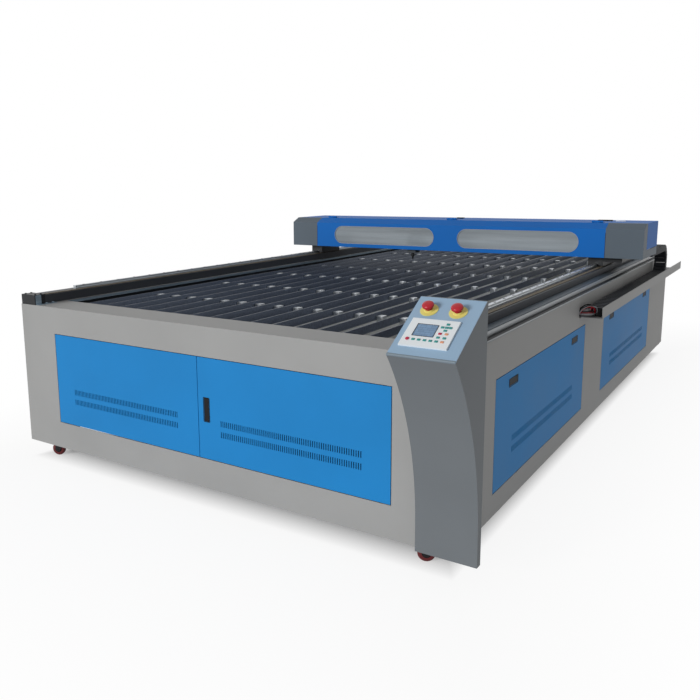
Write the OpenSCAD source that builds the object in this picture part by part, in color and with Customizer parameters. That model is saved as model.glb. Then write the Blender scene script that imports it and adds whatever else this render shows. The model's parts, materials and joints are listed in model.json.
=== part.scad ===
// Flatbed laser cutter with a moving gantry, a slatted bed and a control pod.
// Lengths are millimetres. X runs along the front, Y runs to the back and Z is up from the floor.
// Modules measure Y from the front face; from_front() moves them to the middle of the footprint.

/* [Body] */
// Width of the cabinet over its side panels
body_w = 2294; // [2250:1:2340]
// Length of the cabinet from its front face to its rear face
body_l = 4200; // [4100:1:4400]
// Height of the cabinet's panels
body_h = 700; // [680:1:760]
// Height of the panels' lower edge above the floor
floor_gap = 90; // [88:1:110]
// Thickness of the cabinet's sheet metal
sheet = 3; // [2:0.5:4]
// Depth of the lip on top of the front panel
lip_d = 180; // [120:1:240]
// Depth of the lip on top of the rear panel
rear_lip_d = 60; // [40:1:70]
// Side of the square tubes of the base frame
tube = 50; // [40:1:60]
// Width of the left panel's top flange
left_flange_w = 117; // [110:1:130]
// Width of the right panel's top shelf
right_shelf_w = 197; // [195:1:215]

/* [Front doors] */
// Distance of the door opening from the cabinet's sides
door_side = 239.5; // [220:0.5:300]
// Height of the door opening
door_open_h = 442; // [400:1:460]
// Height of the door opening above the panel's lower edge
door_sill = 130; // [100:1:140]
// Gap round a door or an access panel
door_gap = 3; // [2.5:0.5:4]
// Depth of a door's folded rim
rim_d = 18; // [16:1:24]
// Distance of a hinge pin from the door's edge and from its face
hinge_in = 10; // [9:0.5:12]
// Radius of a hinge pin
hinge_r = 4; // [3:0.5:5]
// Radial clearance of a pin in its bore
pin_gap = 0.05; // [0.03:0.01:0.08]

/* [Vents] */
// Width of a vent slot
slot_w = 4; // [3:0.5:6]
// Height of a vent slot
slot_h = 26; // [20:1:30]
// Spacing of the vent slots
slot_pitch = 10; // [8:1:14]
// Height of the lower slot row above the edge of its door or panel
vent_z = 105; // [90:1:120]
// Spacing of the two slot rows
vent_row = 47; // [40:1:60]
// Distance of the slot rows from the ends of a door
door_vent_in = 112; // [100:1:150]
// Distance of the slot rows from the ends of an access panel
side_vent_in = 200; // [150:1:240]

/* [Side access panels] */
// Height of the access openings above the panel's lower edge
side_sill = 90; // [80:1:110]
// Height of the access openings
side_open_h = 455; // [420:1:470]
// Distance of the front access opening from the front face
side_1_y = 372; // [350:1:400]
// Length of the front access opening
side_1_l = 1317; // [1200:1:1340]
// Distance of the rear access opening from the front face
side_2_y = 2100; // [2080:1:2150]
// Distance of the rear access opening's end from the rear face
side_rear = 685; // [650:1:800]

/* [Locks] */
// Length of a lock's paddle
lock_l = 100; // [80:1:110]
// Width of a lock's paddle
lock_w = 26; // [22:1:30]
// Depth of the pocket behind a paddle
pocket_d = 14; // [13:0.5:15]
// Radius of the paddle's pivot pin
lock_pin_r = 1.5; // [1:0.25:2]
// Distance of the door lock from the door's free edge
door_lock_in = 45; // [30:1:60]
// Height of the door lock's middle above the door's lower edge
door_lock_z = 214; // [190:1:240]
// Distance of a side lock's middle from the end of its panel
side_lock_in = 200; // [150:1:220]
// Distance of a side lock's middle below the panel's top
side_lock_down = 46; // [40:1:60]

/* [Bed] */
// Spacing of the slats
slat_pitch = 115.4; // [110:0.1:116]
// Height of a slat
slat_h = 50; // [40:1:55]
// Thickness of a slat at its foot
slat_foot = 16; // [12:1:20]
// Thickness of a slat at its top edge
slat_edge = 4; // [3:0.5:6]
// Distance of the slats' top below the cabinet's top
slat_down = 10; // [8:1:14]
// Distance of the first cross bar from the front face
bar_y = 148; // [140:1:156]
// Spacing of the cross bars
bar_pitch = 565; // [560:1:566]
// Side of a cross bar
bar_w = 40; // [30:1:45]
// Length of a slat clip along the bar
clip_l = 30; // [24:1:36]
// Height of a slat clip above its bar
clip_h = 36; // [30:1:40]
// Width of a bed edge strip
strip_w = 14; // [10:1:16]
// Height of a bed edge strip
strip_h = 12; // [8:1:14]

/* [Rails] */
// Width of the left rail beam
left_beam_w = 102; // [96:1:106]
// Width of the right rail beam
right_beam_w = 70; // [66:1:72]
// Distance of the right rail beam from the right wall
right_beam_in = 122; // [121:1:124]
// Height of the rail beams
beam_h = 42; // [41:1:46]
// Wall of the rail beams
beam_wall = 4; // [3:0.5:5]
// Width of a linear guide
guide_w = 20; // [16:1:22]
// Height of a linear guide
guide_h = 18; // [15:1:20]
// Distance of a guide's middle from the inner face of the right beam
guide_in = 14; // [13:1:15]
// Distance of the left guide's middle from the outer wall
left_guide_in = 47; // [40:1:50]
// Distance of the guides' front end from the front face
guide_y = 290; // [260:1:320]
// Width of a toothed belt
belt_w = 25; // [20:1:26]
// Thickness of a toothed belt
belt_t = 2; // [1.5:0.25:2.5]
// Distance of a belt's middle from the middle of its guide
belt_off = 34; // [32:1:36]
// Radius of a belt pulley
pulley_r = 16.5; // [15:0.5:17]
// Length of a belt end block
block_l = 60; // [50:1:70]
// Height of a belt end block above its beam
block_up = 6; // [5:1:10]
// Distance of the cross shaft from the rear face
shaft_in = 85; // [80:1:100]
// Radius of the cross shaft
shaft_r = 10; // [8:0.5:11]

/* [Gantry] */
// Width of the gantry over its end caps
gantry_w = 2512; // [2500:1:2560]
// Distance of the gantry's front from the front face
gantry_y = 2530; // [2500:1:2560]
// Depth of the gantry
gantry_d = 450; // [440:1:480]
// Height of the gantry's lower edge above the cabinet's top
gantry_up = 107; // [104:1:115]
// Height of the gantry's covers
gantry_h = 208; // [204:1:230]
// Width of a gantry end cap
cap_w = 218; // [205:1:235]
// Depth of the chamfer along the gantry's front
cham_d = 70; // [60:1:80]
// Height of the chamfer along the gantry's front
cham_h = 33; // [25:1:40]
// Thickness of the gantry's covers
cover_t = 2.5; // [2:0.5:3]
// Distance of the lid's front edge from the gantry's front
lid_y = 104; // [100:1:110]
// Height of the lid's lower edge above the gantry's lower edge
lid_up = 50; // [40:1:60]
// Gap round the lid
lid_gap = 3; // [2:0.5:4]
// Highest radius of a lid hinge
knuckle_r = 6; // [5:0.5:7]
// Distance of the outer lid hinges from the middle
lid_hinge_x = 965; // [900:1:980]
// Length of a window
window_l = 790; // [700:1:800]
// Height of a window
window_h = 121; // [100:1:125]
// Distance of a window's middle from the gantry's middle
window_x = 484; // [440:1:500]
// Height of a window's lower edge above the gantry's lower edge
window_up = 29; // [24:1:34]
// Depth of the gantry beam
beam_d = 100; // [80:1:110]
// Height of the gantry beam
gbeam_h = 95; // [85:1:105]
// Distance of the gantry beam from the gantry's front
beam_in = 130; // [125:1:140]
// Width of the right truck's outer wing
wing_w = 110; // [90:1:120]
// Height of the right truck's outer wing
wing_h = 42; // [36:1:45]
// Length of a gantry truck
truck_l = 260; // [220:1:280]
// Width of a gantry truck
truck_w = 90; // [84:1:94]
// Radius of the laser tube
tube_r = 40; // [35:1:42]
// Length of the laser tube
tube_l = 1850; // [1700:1:1950]

/* [Laser head] */
// Place of the head along the gantry
head_x = -270; // [-300:1:-200]
// Width of the head carriage
head_w = 110; // [90:1:130]
// Radius of the lens tube
lens_r = 12; // [10:0.5:14]
// Height of the nozzle's tip above the cabinet's top
nozzle_up = 31; // [28:1:40]
// Width of a head belt housing
housing_w = 70; // [60:1:80]
// Depth of a head belt housing
housing_d = 34; // [30:1:40]
// Length of the head motor
motor_l = 70; // [60:1:80]
// Depth of the head motor
motor_d = 56; // [50:1:60]
// How far a head belt housing reaches inwards from the seam of the end cap
housing_in = 20; // [15:1:25]

/* [Cable chain] */
// Width of the chain tray
tray_w = 103; // [98:1:106]
// Height of the tray's floor below the cabinet's top
tray_down = 105; // [100:1:110]
// Height of the tray's outer wall
tray_h = 55; // [45:1:60]
// Distance of the tray's front end from the front face
tray_y = 1590; // [1560:1:1620]
// Length of the tray
tray_l = 2590; // [2500:1:2600]
// Width of a chain link
link_w = 75; // [60:1:80]
// Height of a chain link
link_h = 45; // [40:1:50]
// Length of a chain link
link_l = 50; // [45:1:55]
// Radius of the chain's bend to the middle of its links
bend_r = 92; // [88:1:96]
// Number of links in the tray
run_n = 37; // [35:1:38]

/* [Control pod] */
// Width of the pod
pod_w = 227; // [220:1:240]
// How far the pod stands out beyond the right wall
pod_out = 97; // [90:1:105]
// Depth of the pod at the front edge of its sloped panel
pod_d = 258; // [250:1:280]
// Depth of the pod at its foot
pod_foot = 30; // [24:1:40]
// Height of the front edge of the sloped panel above the floor
pod_front_z = 840; // [820:1:850]
// Height of the pod's top above the floor
pod_top_z = 988; // [980:1:1010]
// Height above the floor where the pod's front starts to curve
pod_curve_z = 180; // [150:1:240]
// Depth of the flat strip at the pod's top
pod_flat = 12; // [10:1:16]
// Width of the controller
ctl_w = 161; // [150:1:170]
// Height of the controller along the slope
ctl_h = 128; // [120:1:130]
// Distance of the controller from the panel's left edge
ctl_x = 22; // [18:1:26]
// Distance of the controller from the panel's front edge
ctl_y = 45; // [40:1:50]
// Thickness of the controller's face plate
ctl_t = 6; // [4:0.5:8]
// Width of the screen
screen_w = 69; // [60:1:76]
// Height of the screen
screen_h = 54; // [48:1:60]
// Distance of the screen from the controller's left edge
screen_x = 29; // [24:1:34]
// Distance of the screen from the controller's front edge
screen_y = 47; // [42:1:52]
// Radius of an emergency stop's yellow plate
plate_r = 30; // [26:1:32]
// Radius of an emergency stop's head
stop_r = 20; // [17:0.5:20]
// Distance of the emergency stops from the panel's front edge
stop_y = 222; // [218:1:226]
// Distance of the left emergency stop from the panel's left edge
stop_1_x = 56; // [50:1:60]
// Distance of the right emergency stop from the panel's left edge
stop_2_x = 155; // [150:1:160]
// Height of an emergency stop's head above its plate
stop_up = 14; // [12:1:18]

/* [Rear and inside] */
// Radius of an exhaust spigot
spigot_r = 75; // [60:1:80]
// Length of an exhaust spigot
spigot_l = 100; // [80:1:120]
// Distance of the exhaust spigots from the middle
spigot_x = 500; // [400:1:600]
// Height of the exhaust spigots above the panel's lower edge
spigot_z = 320; // [280:1:360]
// Radius of the cable entry
entry_r = 12.5; // [10:0.5:16]
// Distance of the equipment plate from the front face
equip_y = 450; // [400:1:500]
// Width of the equipment plate
equip_w = 1400; // [1200:1:1500]
// Height of the equipment plate
equip_h = 340; // [300:1:380]
// Height of the modules above the plate's lower edge
module_up = 60; // [40:1:80]
// Distance of the laser supply from the plate's left end
supply_in = 100; // [60:1:140]
// Width of the laser supply
supply_w = 300; // [260:1:320]
// Depth of the laser supply
supply_d = 140; // [120:1:160]
// Height of the laser supply
supply_h = 180; // [150:1:200]
// Gap between the laser supply and the first motor driver
driver_gap = 150; // [100:1:180]
// Width of a motor driver
driver_w = 60; // [50:1:80]
// Depth of a motor driver
driver_d = 80; // [60:1:100]
// Height of a motor driver
driver_h = 140; // [120:1:160]
// Spacing of the motor drivers
driver_pitch = 130; // [100:1:140]
// Distance of the relay box from the plate's right end
relay_in = 140; // [100:1:180]
// Width of the relay box
relay_w = 260; // [200:1:280]
// Depth of the relay box
relay_d = 60; // [50:1:80]
// Height of the relay box
relay_h = 160; // [140:1:180]
// Height of the dust tray's floor below the cabinet's top
dust_down = 230; // [220:1:260]

/* [Casters] */
// Diameter of a caster wheel
wheel_d = 66; // [60:1:66]
// Width of a caster wheel
wheel_w = 24; // [20:1:28]
// Distance of a caster's swivel axis from the side wall
caster_in = 120; // [100:1:140]
// Distance of a caster's swivel axis from the front or rear face
caster_y = 95; // [90:1:130]
// Distance of a wheel's axle behind its swivel axis
trail = 20; // [15:1:25]
// Turn of the casters about their swivel axes at rest
caster_turn = 114; // [0:1:359]

/* [Hidden] */
$fn = 48;

// Colours
grey = "#8f9190";
dark_grey = "#565b5f";
blue = "#2b7fc0";
black = "#1f2124";
steel = "#b9bec3";

// Running gaps
touch = 0.3;
slide_gap = 0.5;
over = 1;

// Body
half_w = body_w / 2;
top_z = floor_gap + body_h;
in_x = half_w - sheet;
post_x = in_x - tube;
front_y = (pod_d - body_l - spigot_l) / 2;
side_2_l = body_l - side_2_y - side_rear;
mid_post_y = (side_1_y + side_1_l + side_2_y - tube) / 2;
post_ys = [sheet, mid_post_y, body_l - sheet - tube];
frame_top = top_z - sheet - tube;
sill_z = floor_gap + door_sill;
side_z = floor_gap + side_sill;

// Doors and panels
door_open_w = body_w - 2 * door_side;
door_w = door_open_w / 2 - 1.5 * door_gap;
door_h = door_open_h - 2 * door_gap;
door_axis_x = door_open_w / 2 - door_gap - hinge_in;
panel_h = side_open_h - 2 * door_gap;
ear_t = 5;

// Bed
slat_top = top_z - slat_down;
bar_top = slat_top - slat_h;
ledge_top = bar_top - bar_w;
ledge_x = half_w - right_shelf_w + 5;
bar_room = body_l - sheet - tube - touch - bar_w / 2 - bar_y;
bar_n = floor(bar_room / bar_pitch) + 1;
slat_l = bar_pitch * (bar_n - 1) + bar_w;
slat_y = bar_y - bar_w / 2;
support_x = half_w - right_beam_in - tube;
slat_room = support_x - clip_l - slat_foot / 2 - over;
slat_n = 2 * floor(slat_room / slat_pitch) + 1;

// Rails
beam_top = top_z + beam_h;
left_beam_x = -half_w;
right_beam_x = half_w - right_beam_in - right_beam_w;
left_guide_x = -half_w + left_guide_in;
right_guide_x = right_beam_x + guide_in;
guide_xs = [left_guide_x, right_guide_x];
belt_xs = [left_guide_x + belt_off, right_guide_x + belt_off];
shaft_y = body_l - shaft_in;
belt_in_r = pulley_r + touch;
belt_out_r = belt_in_r + belt_t;
shaft_z = beam_top + 1 + belt_t - belt_out_r;
beam_y = block_l + 4;
beam_end = shaft_y - belt_out_r - 6;

// Gantry
gz = top_z + gantry_up;
gtop = gz + gantry_h;
seam_x = gantry_w / 2 - cap_w;
lid_z = gz + lid_up;
hinge_z = gtop + knuckle_r + touch;
gbeam_z = gz + 8;
truck_y = gantry_y + beam_in - 40;
truck_z = beam_top + 6;
tube_y = gantry_y + gantry_d - 100;
tube_z = gbeam_z + 6 + tube_r + 50;
head_guide_z = gbeam_z + 50;
head_y = gantry_y + 62;
nozzle_z = top_z + nozzle_up;

// Chain
tray_z = top_z - tray_down;
chain_x = half_w + 13;
chain_z = tray_z + sheet + touch + link_h / 2;
chain_y = tray_y + 30;
link_wall = 6;

// Pod
pod_x = half_w + pod_out - pod_w;
slope_a = atan2(pod_top_z - pod_front_z, pod_d - pod_flat);
slope_l = norm([pod_top_z - pod_front_z, pod_d - pod_flat]);
pod_rise = pod_front_z - pod_curve_z;
pod_reach = pod_d - pod_foot;
pod_curve_r = (pod_reach * pod_reach + pod_rise * pod_rise) / (2 * pod_reach);
stem_r = 11;

// Casters
caster_t = 6;
king_r = 6;
axle_r = 4;
fork_t = 4;
fork_top = floor_gap - caster_t - touch;
cheek_in = wheel_w / 2 + 1;

// Moves a module from the front face to the middle of the footprint
module from_front() {
    translate([0, front_y, 0]) children();
}

// Box between two corners
module span(low, high) {
    translate(low) cube(high - low);
}

// Round bar along X from a point
module bar_x(at, r, l) {
    translate(at) rotate([0, 90, 0]) cylinder(r = r, h = l);
}

// Round bar along Y from a point
module bar_y(at, r, l) {
    translate(at) rotate([-90, 0, 0]) cylinder(r = r, h = l);
}

// Two rows of upright slots in a wall that lies in X and Z, from x = 0 to x = wall_l
module vent_slots(wall_l, inset) {
    count = floor((wall_l - 2 * inset) / slot_pitch);
    start = (wall_l - (count - 1) * slot_pitch - slot_w) / 2;
    for (row = [0, 1], i = [0 : count - 1])
        translate([start + i * slot_pitch, -over, vent_z + row * vent_row])
            cube([slot_w, sheet + 2 * over, slot_h]);
}

// Folded pan in X and Z with its face at y = 0 and its rim behind
module pan(w, h) {
    difference() {
        cube([w, rim_d, h]);
        translate([sheet, sheet, sheet]) cube([w - 2 * sheet, rim_d, h - 2 * sheet]);
    }
}

// Pocket for a lock paddle that hangs from z = 0, pivot pins along X
module lock_pocket() {
    wall = 3;
    difference() {
        translate([-lock_w / 2 - 1 - wall, sheet / 2, -lock_l - 1 - wall])
            cube([lock_w + 2 + 2 * wall, pocket_d + wall - sheet / 2, lock_l + 2 + 2 * wall]);
        lock_pocket_hollow();
    }
}

// Hollow of the lock pocket with its two pivot bores
module lock_pocket_hollow() {
    barrel = 4;
    bore_l = lock_w + 2 + 4;
    translate([-lock_w / 2 - 1, -over, -lock_l - 1])
        cube([lock_w + 2, pocket_d + over, lock_l + 2]);
    bar_x([-bore_l / 2, barrel, -barrel], lock_pin_r + pin_gap, bore_l);
}

// Lock paddle that hangs from z = 0 with a barrel and pivot pins at its top
module lock_paddle() {
    barrel = 4;
    pin_l = lock_w + 2 + 3;
    grip_l = 26;
    bar_x([-lock_w / 2, barrel, -barrel], barrel, lock_w);
    bar_x([-pin_l / 2, barrel, -barrel], lock_pin_r, pin_l);
    difference() {
        translate([-lock_w / 2, 0, -lock_l]) cube([lock_w, 6, lock_l - barrel]);
        translate([-lock_w / 2 + 5, 3, -lock_l - over]) cube([lock_w - 10, 6, grip_l]);
    }
}

// Square tubes of the bolted frame with the caster plates under its corners
module base_frame() {
    side_l = body_l - 2 * sheet;
    post_h = frame_top - floor_gap - tube - 2 * touch;
    color(dark_grey) {
        for (side = [-1, 1]) {
            tube_x = side > 0 ? post_x : -in_x;
            for (z = [floor_gap, frame_top])
                translate([tube_x, sheet, z]) cube([tube, side_l, tube]);
            for (y = post_ys)
                translate([tube_x, y, floor_gap + tube + touch]) cube([tube, tube, post_h]);
            frame_ledge(side);
        }
        for (y = [sheet, equip_y, mid_post_y, body_l - sheet - tube]) cross_tube(y, floor_gap);
        for (y = [sheet, body_l - sheet - tube]) cross_tube(y, frame_top);
        right_rail_support();
        for (corner = caster_corners()) caster_plate(corner);
    }
}

// Tube from side to side between the two long tubes of a level
module cross_tube(y, z) {
    translate([-post_x + touch, y, z]) cube([2 * (post_x - touch), tube, tube]);
}

// Ledge along one side that carries the cross bars, held off the posts by stubs
module frame_ledge(side) {
    ledge_x0 = side > 0 ? ledge_x : -ledge_x - tube;
    stub_x0 = side > 0 ? ledge_x + tube + touch : -post_x + touch;
    stub_l = post_x - ledge_x - tube - 2 * touch;
    translate([ledge_x0, sheet, ledge_top - tube]) cube([tube, body_l - 2 * sheet, tube]);
    for (y = post_ys)
        translate([stub_x0, y, ledge_top - tube]) cube([stub_l, tube, tube]);
}

// Tube under the right rail beam between the end tubes, with a stub to the long tube
module right_rail_support() {
    y0 = sheet + tube + touch;
    stub_x0 = support_x + tube + touch;
    translate([support_x, y0, frame_top]) cube([tube, body_l - 2 * y0, tube]);
    translate([stub_x0, mid_post_y, frame_top]) cube([post_x - stub_x0 - touch, tube, tube]);
}

// Swivel axes of the four casters
function caster_corners() = [for (y = [caster_y, body_l - caster_y], s = [-1, 1])
    [s * (half_w - caster_in), y]];

// Caster plate with the bore for a swivel pin
module caster_plate(corner) {
    plate_w = 2 * (caster_in - sheet);
    difference() {
        translate([corner[0] - plate_w / 2, corner[1] - 45, floor_gap - caster_t])
            cube([plate_w, 90, caster_t - touch]);
        translate([corner[0], corner[1], floor_gap - caster_t - over])
            cylinder(r = king_r + pin_gap, h = caster_t + over);
    }
}

// Front panel with its lip, the door opening and the ears that hold the door pins
module front_panel() {
    color(grey) difference() {
        union() {
            span([-half_w, 0, floor_gap], [half_w, sheet, top_z]);
            span([-half_w, 0, top_z - sheet], [half_w, lip_d, top_z]);
            span([-post_x, lip_d - sheet, slat_top + touch], [ledge_x, lip_d, top_z]);
        }
        span([-door_open_w / 2, -over, sill_z], [door_open_w / 2, sheet + over, sill_z + door_open_h]);
    }
    color(grey) for (side = [-1, 1]) translate([side * door_axis_x, 0, 0]) {
        door_ear(sill_z - ear_t, 1);
        door_ear(sill_z + door_open_h, -1);
    }
}

// Ear behind the panel with a hinge pin that points into the door's rim
module door_ear(z, way) {
    pin_l = door_gap + sheet + 2;
    pin_z = way > 0 ? z + ear_t : z - pin_l;
    translate([-15, sheet, z]) cube([30, 2 * hinge_in, ear_t]);
    translate([0, hinge_in, pin_z]) cylinder(r = hinge_r, h = pin_l);
}

// Left panel with its top flange under the rail beam
module left_panel() {
    color(grey) {
        difference() {
            union() {
                span([-half_w, sheet, floor_gap], [-in_x, body_l - sheet, top_z]);
                span([-half_w, lip_d, top_z - sheet],
                    [-half_w + left_flange_w, body_l - rear_lip_d, top_z]);
            }
            span([-half_w - over, 0, top_z - sheet], [-half_w + left_flange_w + over, lip_d, top_z + over]);
            span([-half_w - over, body_l - rear_lip_d, top_z - sheet],
                [-half_w + left_flange_w + over, body_l, top_z + over]);
        }
    }
}

// Right panel with two access openings, its top shelf and the hole for the wires
module right_panel() {
    color(grey) difference() {
        union() {
            span([in_x, sheet, floor_gap], [half_w, body_l - sheet, top_z]);
            span([half_w - right_shelf_w, lip_d, top_z - sheet], [half_w, body_l - rear_lip_d, top_z]);
        }
        span([in_x - over, 0, top_z - sheet], [half_w + over, lip_d, top_z + over]);
        span([in_x - over, body_l - rear_lip_d, top_z - sheet], [half_w + over, body_l, top_z + over]);
        for (bay = [[side_1_y, side_1_l], [side_2_y, side_2_l]])
            span([in_x - over, bay[0], side_z], [half_w + over, bay[0] + bay[1], side_z + side_open_h]);
        bar_x([in_x - over, wire_y, wire_z], wire_hole_r, sheet + 2 * over);
    }
    color(grey) for (bay = [[side_1_y, side_1_l], [side_2_y, side_2_l]]) {
        panel_ear(bay[0] - ear_t, 1);
        panel_ear(bay[0] + bay[1], -1);
    }
}

// Ear behind the right panel with a pin that points into an access panel's rim
module panel_ear(y, way) {
    pin_l = door_gap + sheet + 2;
    pin_y = way > 0 ? y + ear_t : y - pin_l;
    axis_z = side_z + door_gap + hinge_in;
    translate([in_x - 2 * hinge_in, y, axis_z - 15]) cube([2 * hinge_in, ear_t, 30]);
    bar_y([half_w - hinge_in, pin_y, axis_z], hinge_r, pin_l);
}

// Rear panel with its lip, the exhaust openings and the cable entry
module rear_panel() {
    entry_x = -half_w + 250;
    entry_z = floor_gap + 130;
    color(grey) difference() {
        union() {
            span([-half_w, body_l - sheet, floor_gap], [half_w, body_l, top_z]);
            span([-half_w, body_l - rear_lip_d, top_z - sheet], [half_w, body_l, top_z]);
        }
        for (side = [-1, 1])
            bar_y([side * spigot_x, body_l - sheet - over, floor_gap + spigot_z], spigot_r - sheet,
                sheet + 2 * over);
        bar_y([entry_x, body_l - sheet - over, entry_z], entry_r, sheet + 2 * over);
    }
}

// Flanged exhaust spigots on the rear panel
module exhaust_spigots() {
    flange_r = spigot_r + 25;
    color(steel) for (side = [-1, 1]) translate([side * spigot_x, body_l, floor_gap + spigot_z])
        rotate([-90, 0, 0]) difference() {
            union() {
                cylinder(r = flange_r, h = sheet);
                cylinder(r = spigot_r, h = spigot_l);
            }
            translate([0, 0, -over]) cylinder(r = spigot_r - sheet, h = spigot_l + 2 * over);
        }
}

// Dust tray under the bed, hung by its flanges between the ledges
module dust_tray() {
    floor_z = top_z - dust_down;
    y0 = lip_d + tube;
    y1 = body_l - rear_lip_d - tube;
    color(dark_grey) difference() {
        span([-ledge_x, y0, floor_z], [ledge_x, y1, ledge_top]);
        span([-ledge_x + sheet, y0 + sheet, floor_z + sheet],
            [ledge_x - sheet, y1 - sheet, ledge_top + over]);
    }
}

// Cross bars under the slats, ends on the ledges
module bed_crossbars() {
    bar_end = ledge_x + tube - 6;
    color(steel) for (i = [0 : bar_n - 1])
        translate([-bar_end, bar_y + i * bar_pitch - bar_w / 2, ledge_top])
            cube([2 * bar_end, bar_w, bar_w]);
}

// Middles of the slats
function slat_xs() = [for (i = [0 : slat_n - 1]) (i - (slat_n - 1) / 2) * slat_pitch];

// Knife slats with a wide foot and a narrow top edge
module bed_slats() {
    color(black) for (x = slat_xs()) translate([x, slat_y + slat_l, bar_top]) rotate([90, 0, 0])
        linear_extrude(slat_l) polygon([[-slat_foot / 2, 0], [slat_foot / 2, 0],
            [slat_foot / 2, slat_h * 0.35], [slat_edge / 2, slat_h], [-slat_edge / 2, slat_h],
            [-slat_foot / 2, slat_h * 0.35]]);
}

// Folded box clips that hold each slat to each cross bar, open below
module slat_clips() {
    leg = 4;
    color(steel) for (x = slat_xs(), i = [0 : bar_n - 1])
        translate([x + slat_foot / 2, bar_y + i * bar_pitch - bar_w / 2, bar_top]) difference() {
            cube([clip_l, bar_w, clip_h]);
            translate([leg, leg, -over]) cube([clip_l - 2 * leg, bar_w - 2 * leg, clip_h - leg + over]);
        }
}

// Bright strips along the two long edges of the bed
module bed_edge_strips() {
    strip_l = body_l - lip_d - rear_lip_d;
    color(steel) {
        translate([-half_w + left_flange_w, lip_d, top_z - strip_h]) cube([strip_w, strip_l, strip_h]);
        translate([half_w - right_shelf_w - strip_w, lip_d, top_z - strip_h])
            cube([strip_w, strip_l, strip_h]);
    }
}

// Hollow rail beam on the cabinet's top
module rail_beam(x, w) {
    difference() {
        span([x, beam_y, top_z], [x + w, beam_end, beam_top]);
        span([x + beam_wall, beam_y - over, top_z + beam_wall],
            [x + w - beam_wall, beam_end + over, beam_top - beam_wall]);
    }
}

module rail_beams() {
    color(black) {
        rail_beam(left_beam_x, left_beam_w);
        rail_beam(right_beam_x, right_beam_w);
    }
}

// Linear guides with a waist along both sides
module guide_rails() {
    waist = 3;
    color(steel) for (x = guide_xs) translate([x, beam_end, beam_top]) rotate([90, 0, 0])
        linear_extrude(beam_end - guide_y) polygon([[-guide_w / 2, 0], [guide_w / 2, 0],
            [guide_w / 2, guide_h * 0.35], [guide_w / 2 - waist, guide_h * 0.5],
            [guide_w / 2, guide_h * 0.7],
            [guide_w / 2, guide_h], [-guide_w / 2, guide_h], [-guide_w / 2, guide_h * 0.7],
            [-guide_w / 2 + waist, guide_h * 0.5], [-guide_w / 2, guide_h * 0.35]]);
}

// Toothed belts, round the rear pulleys and into the front end blocks
module drive_belts() {
    color("#6b6254") for (x = belt_xs) {
        for (z = [shaft_z - belt_out_r, shaft_z + belt_in_r])
            span([x - belt_w / 2, block_l + 4, z], [x + belt_w / 2, shaft_y, z + belt_t]);
        difference() {
            bar_x([x - belt_w / 2, shaft_y, shaft_z], belt_out_r, belt_w);
            bar_x([x - belt_w / 2 - over, shaft_y, shaft_z], belt_in_r, belt_w + 2 * over);
            span([x - belt_w, shaft_y - 2 * belt_out_r, shaft_z - 2 * belt_out_r],
                [x + belt_w, shaft_y, shaft_z + 2 * belt_out_r]);
        }
    }
}

// Closed end blocks that hold the front idlers of the belts
module belt_end_blocks() {
    color(black) {
        span([left_beam_x, 4, top_z], [left_beam_x + left_beam_w, block_l + 4, beam_top + block_up]);
        span([right_beam_x, 4, top_z], [right_beam_x + right_beam_w, block_l + 4, beam_top + block_up]);
    }
}

// Ends of the cross shaft
shaft_x0 = left_beam_x + 14;
shaft_x1 = right_beam_x + right_beam_w + 60;

// Pillow blocks of the cross shaft, outside each pulley
module shaft_bearings() {
    block_w = 24;
    foot_l = 2 * belt_out_r + 8;
    block_top = shaft_z + shaft_r + 9;
    color(dark_grey) for (x = [shaft_x0 + 4, right_beam_x + right_beam_w - block_w + 30]) difference() {
        span([x, shaft_y - foot_l / 2, top_z], [x + block_w, shaft_y + foot_l / 2, block_top]);
        bar_x([x - over, shaft_y, shaft_z], shaft_r + pin_gap, block_w + 2 * over);
    }
}

// Cross shaft with the two belt pulleys and their flanges
module drive_shaft() {
    flange_t = 2;
    color(steel) {
        bar_x([shaft_x0, shaft_y, shaft_z], shaft_r, shaft_x1 - shaft_x0);
        for (x = belt_xs) {
            bar_x([x - belt_w / 2 - 1, shaft_y, shaft_z], pulley_r, belt_w + 2);
            for (end = [x - belt_w / 2 - 1 - flange_t, x + belt_w / 2 + 1])
                bar_x([end, shaft_y, shaft_z], belt_in_r + 1, flange_t);
        }
    }
}

// Motor that turns the cross shaft, on the right shelf
module drive_motor() {
    size = 60;
    color(black) difference() {
        span([shaft_x1 - 18, shaft_y - size / 2, top_z], [half_w - 8, shaft_y + size / 2, top_z + size]);
        bar_x([shaft_x1 - 18 - over, shaft_y, shaft_z], shaft_r + pin_gap, 20 + over);
    }
}

// Folded tray for the cable chain along the right wall
module chain_tray() {
    color(grey) translate([half_w, tray_y + tray_l, tray_z]) rotate([90, 0, 0]) linear_extrude(tray_l)
        polygon([[0, 0], [tray_w, 0], [tray_w, tray_h], [tray_w - sheet, tray_h], [tray_w - sheet, sheet],
            [sheet, sheet], [sheet, tray_h * 0.6], [0, tray_h * 0.6]]);
}

// One hollow chain link that lies along +Y from its middle
module chain_link() {
    l = link_l - slide_gap;
    difference() {
        translate([0, -l / 2, -link_h / 2]) cube([link_w, l, link_h]);
        translate([link_wall, -l / 2 - over, -link_h / 2 + link_wall])
            cube([link_w - 2 * link_wall, l + 2 * over, link_h - 2 * link_wall]);
    }
}

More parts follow.
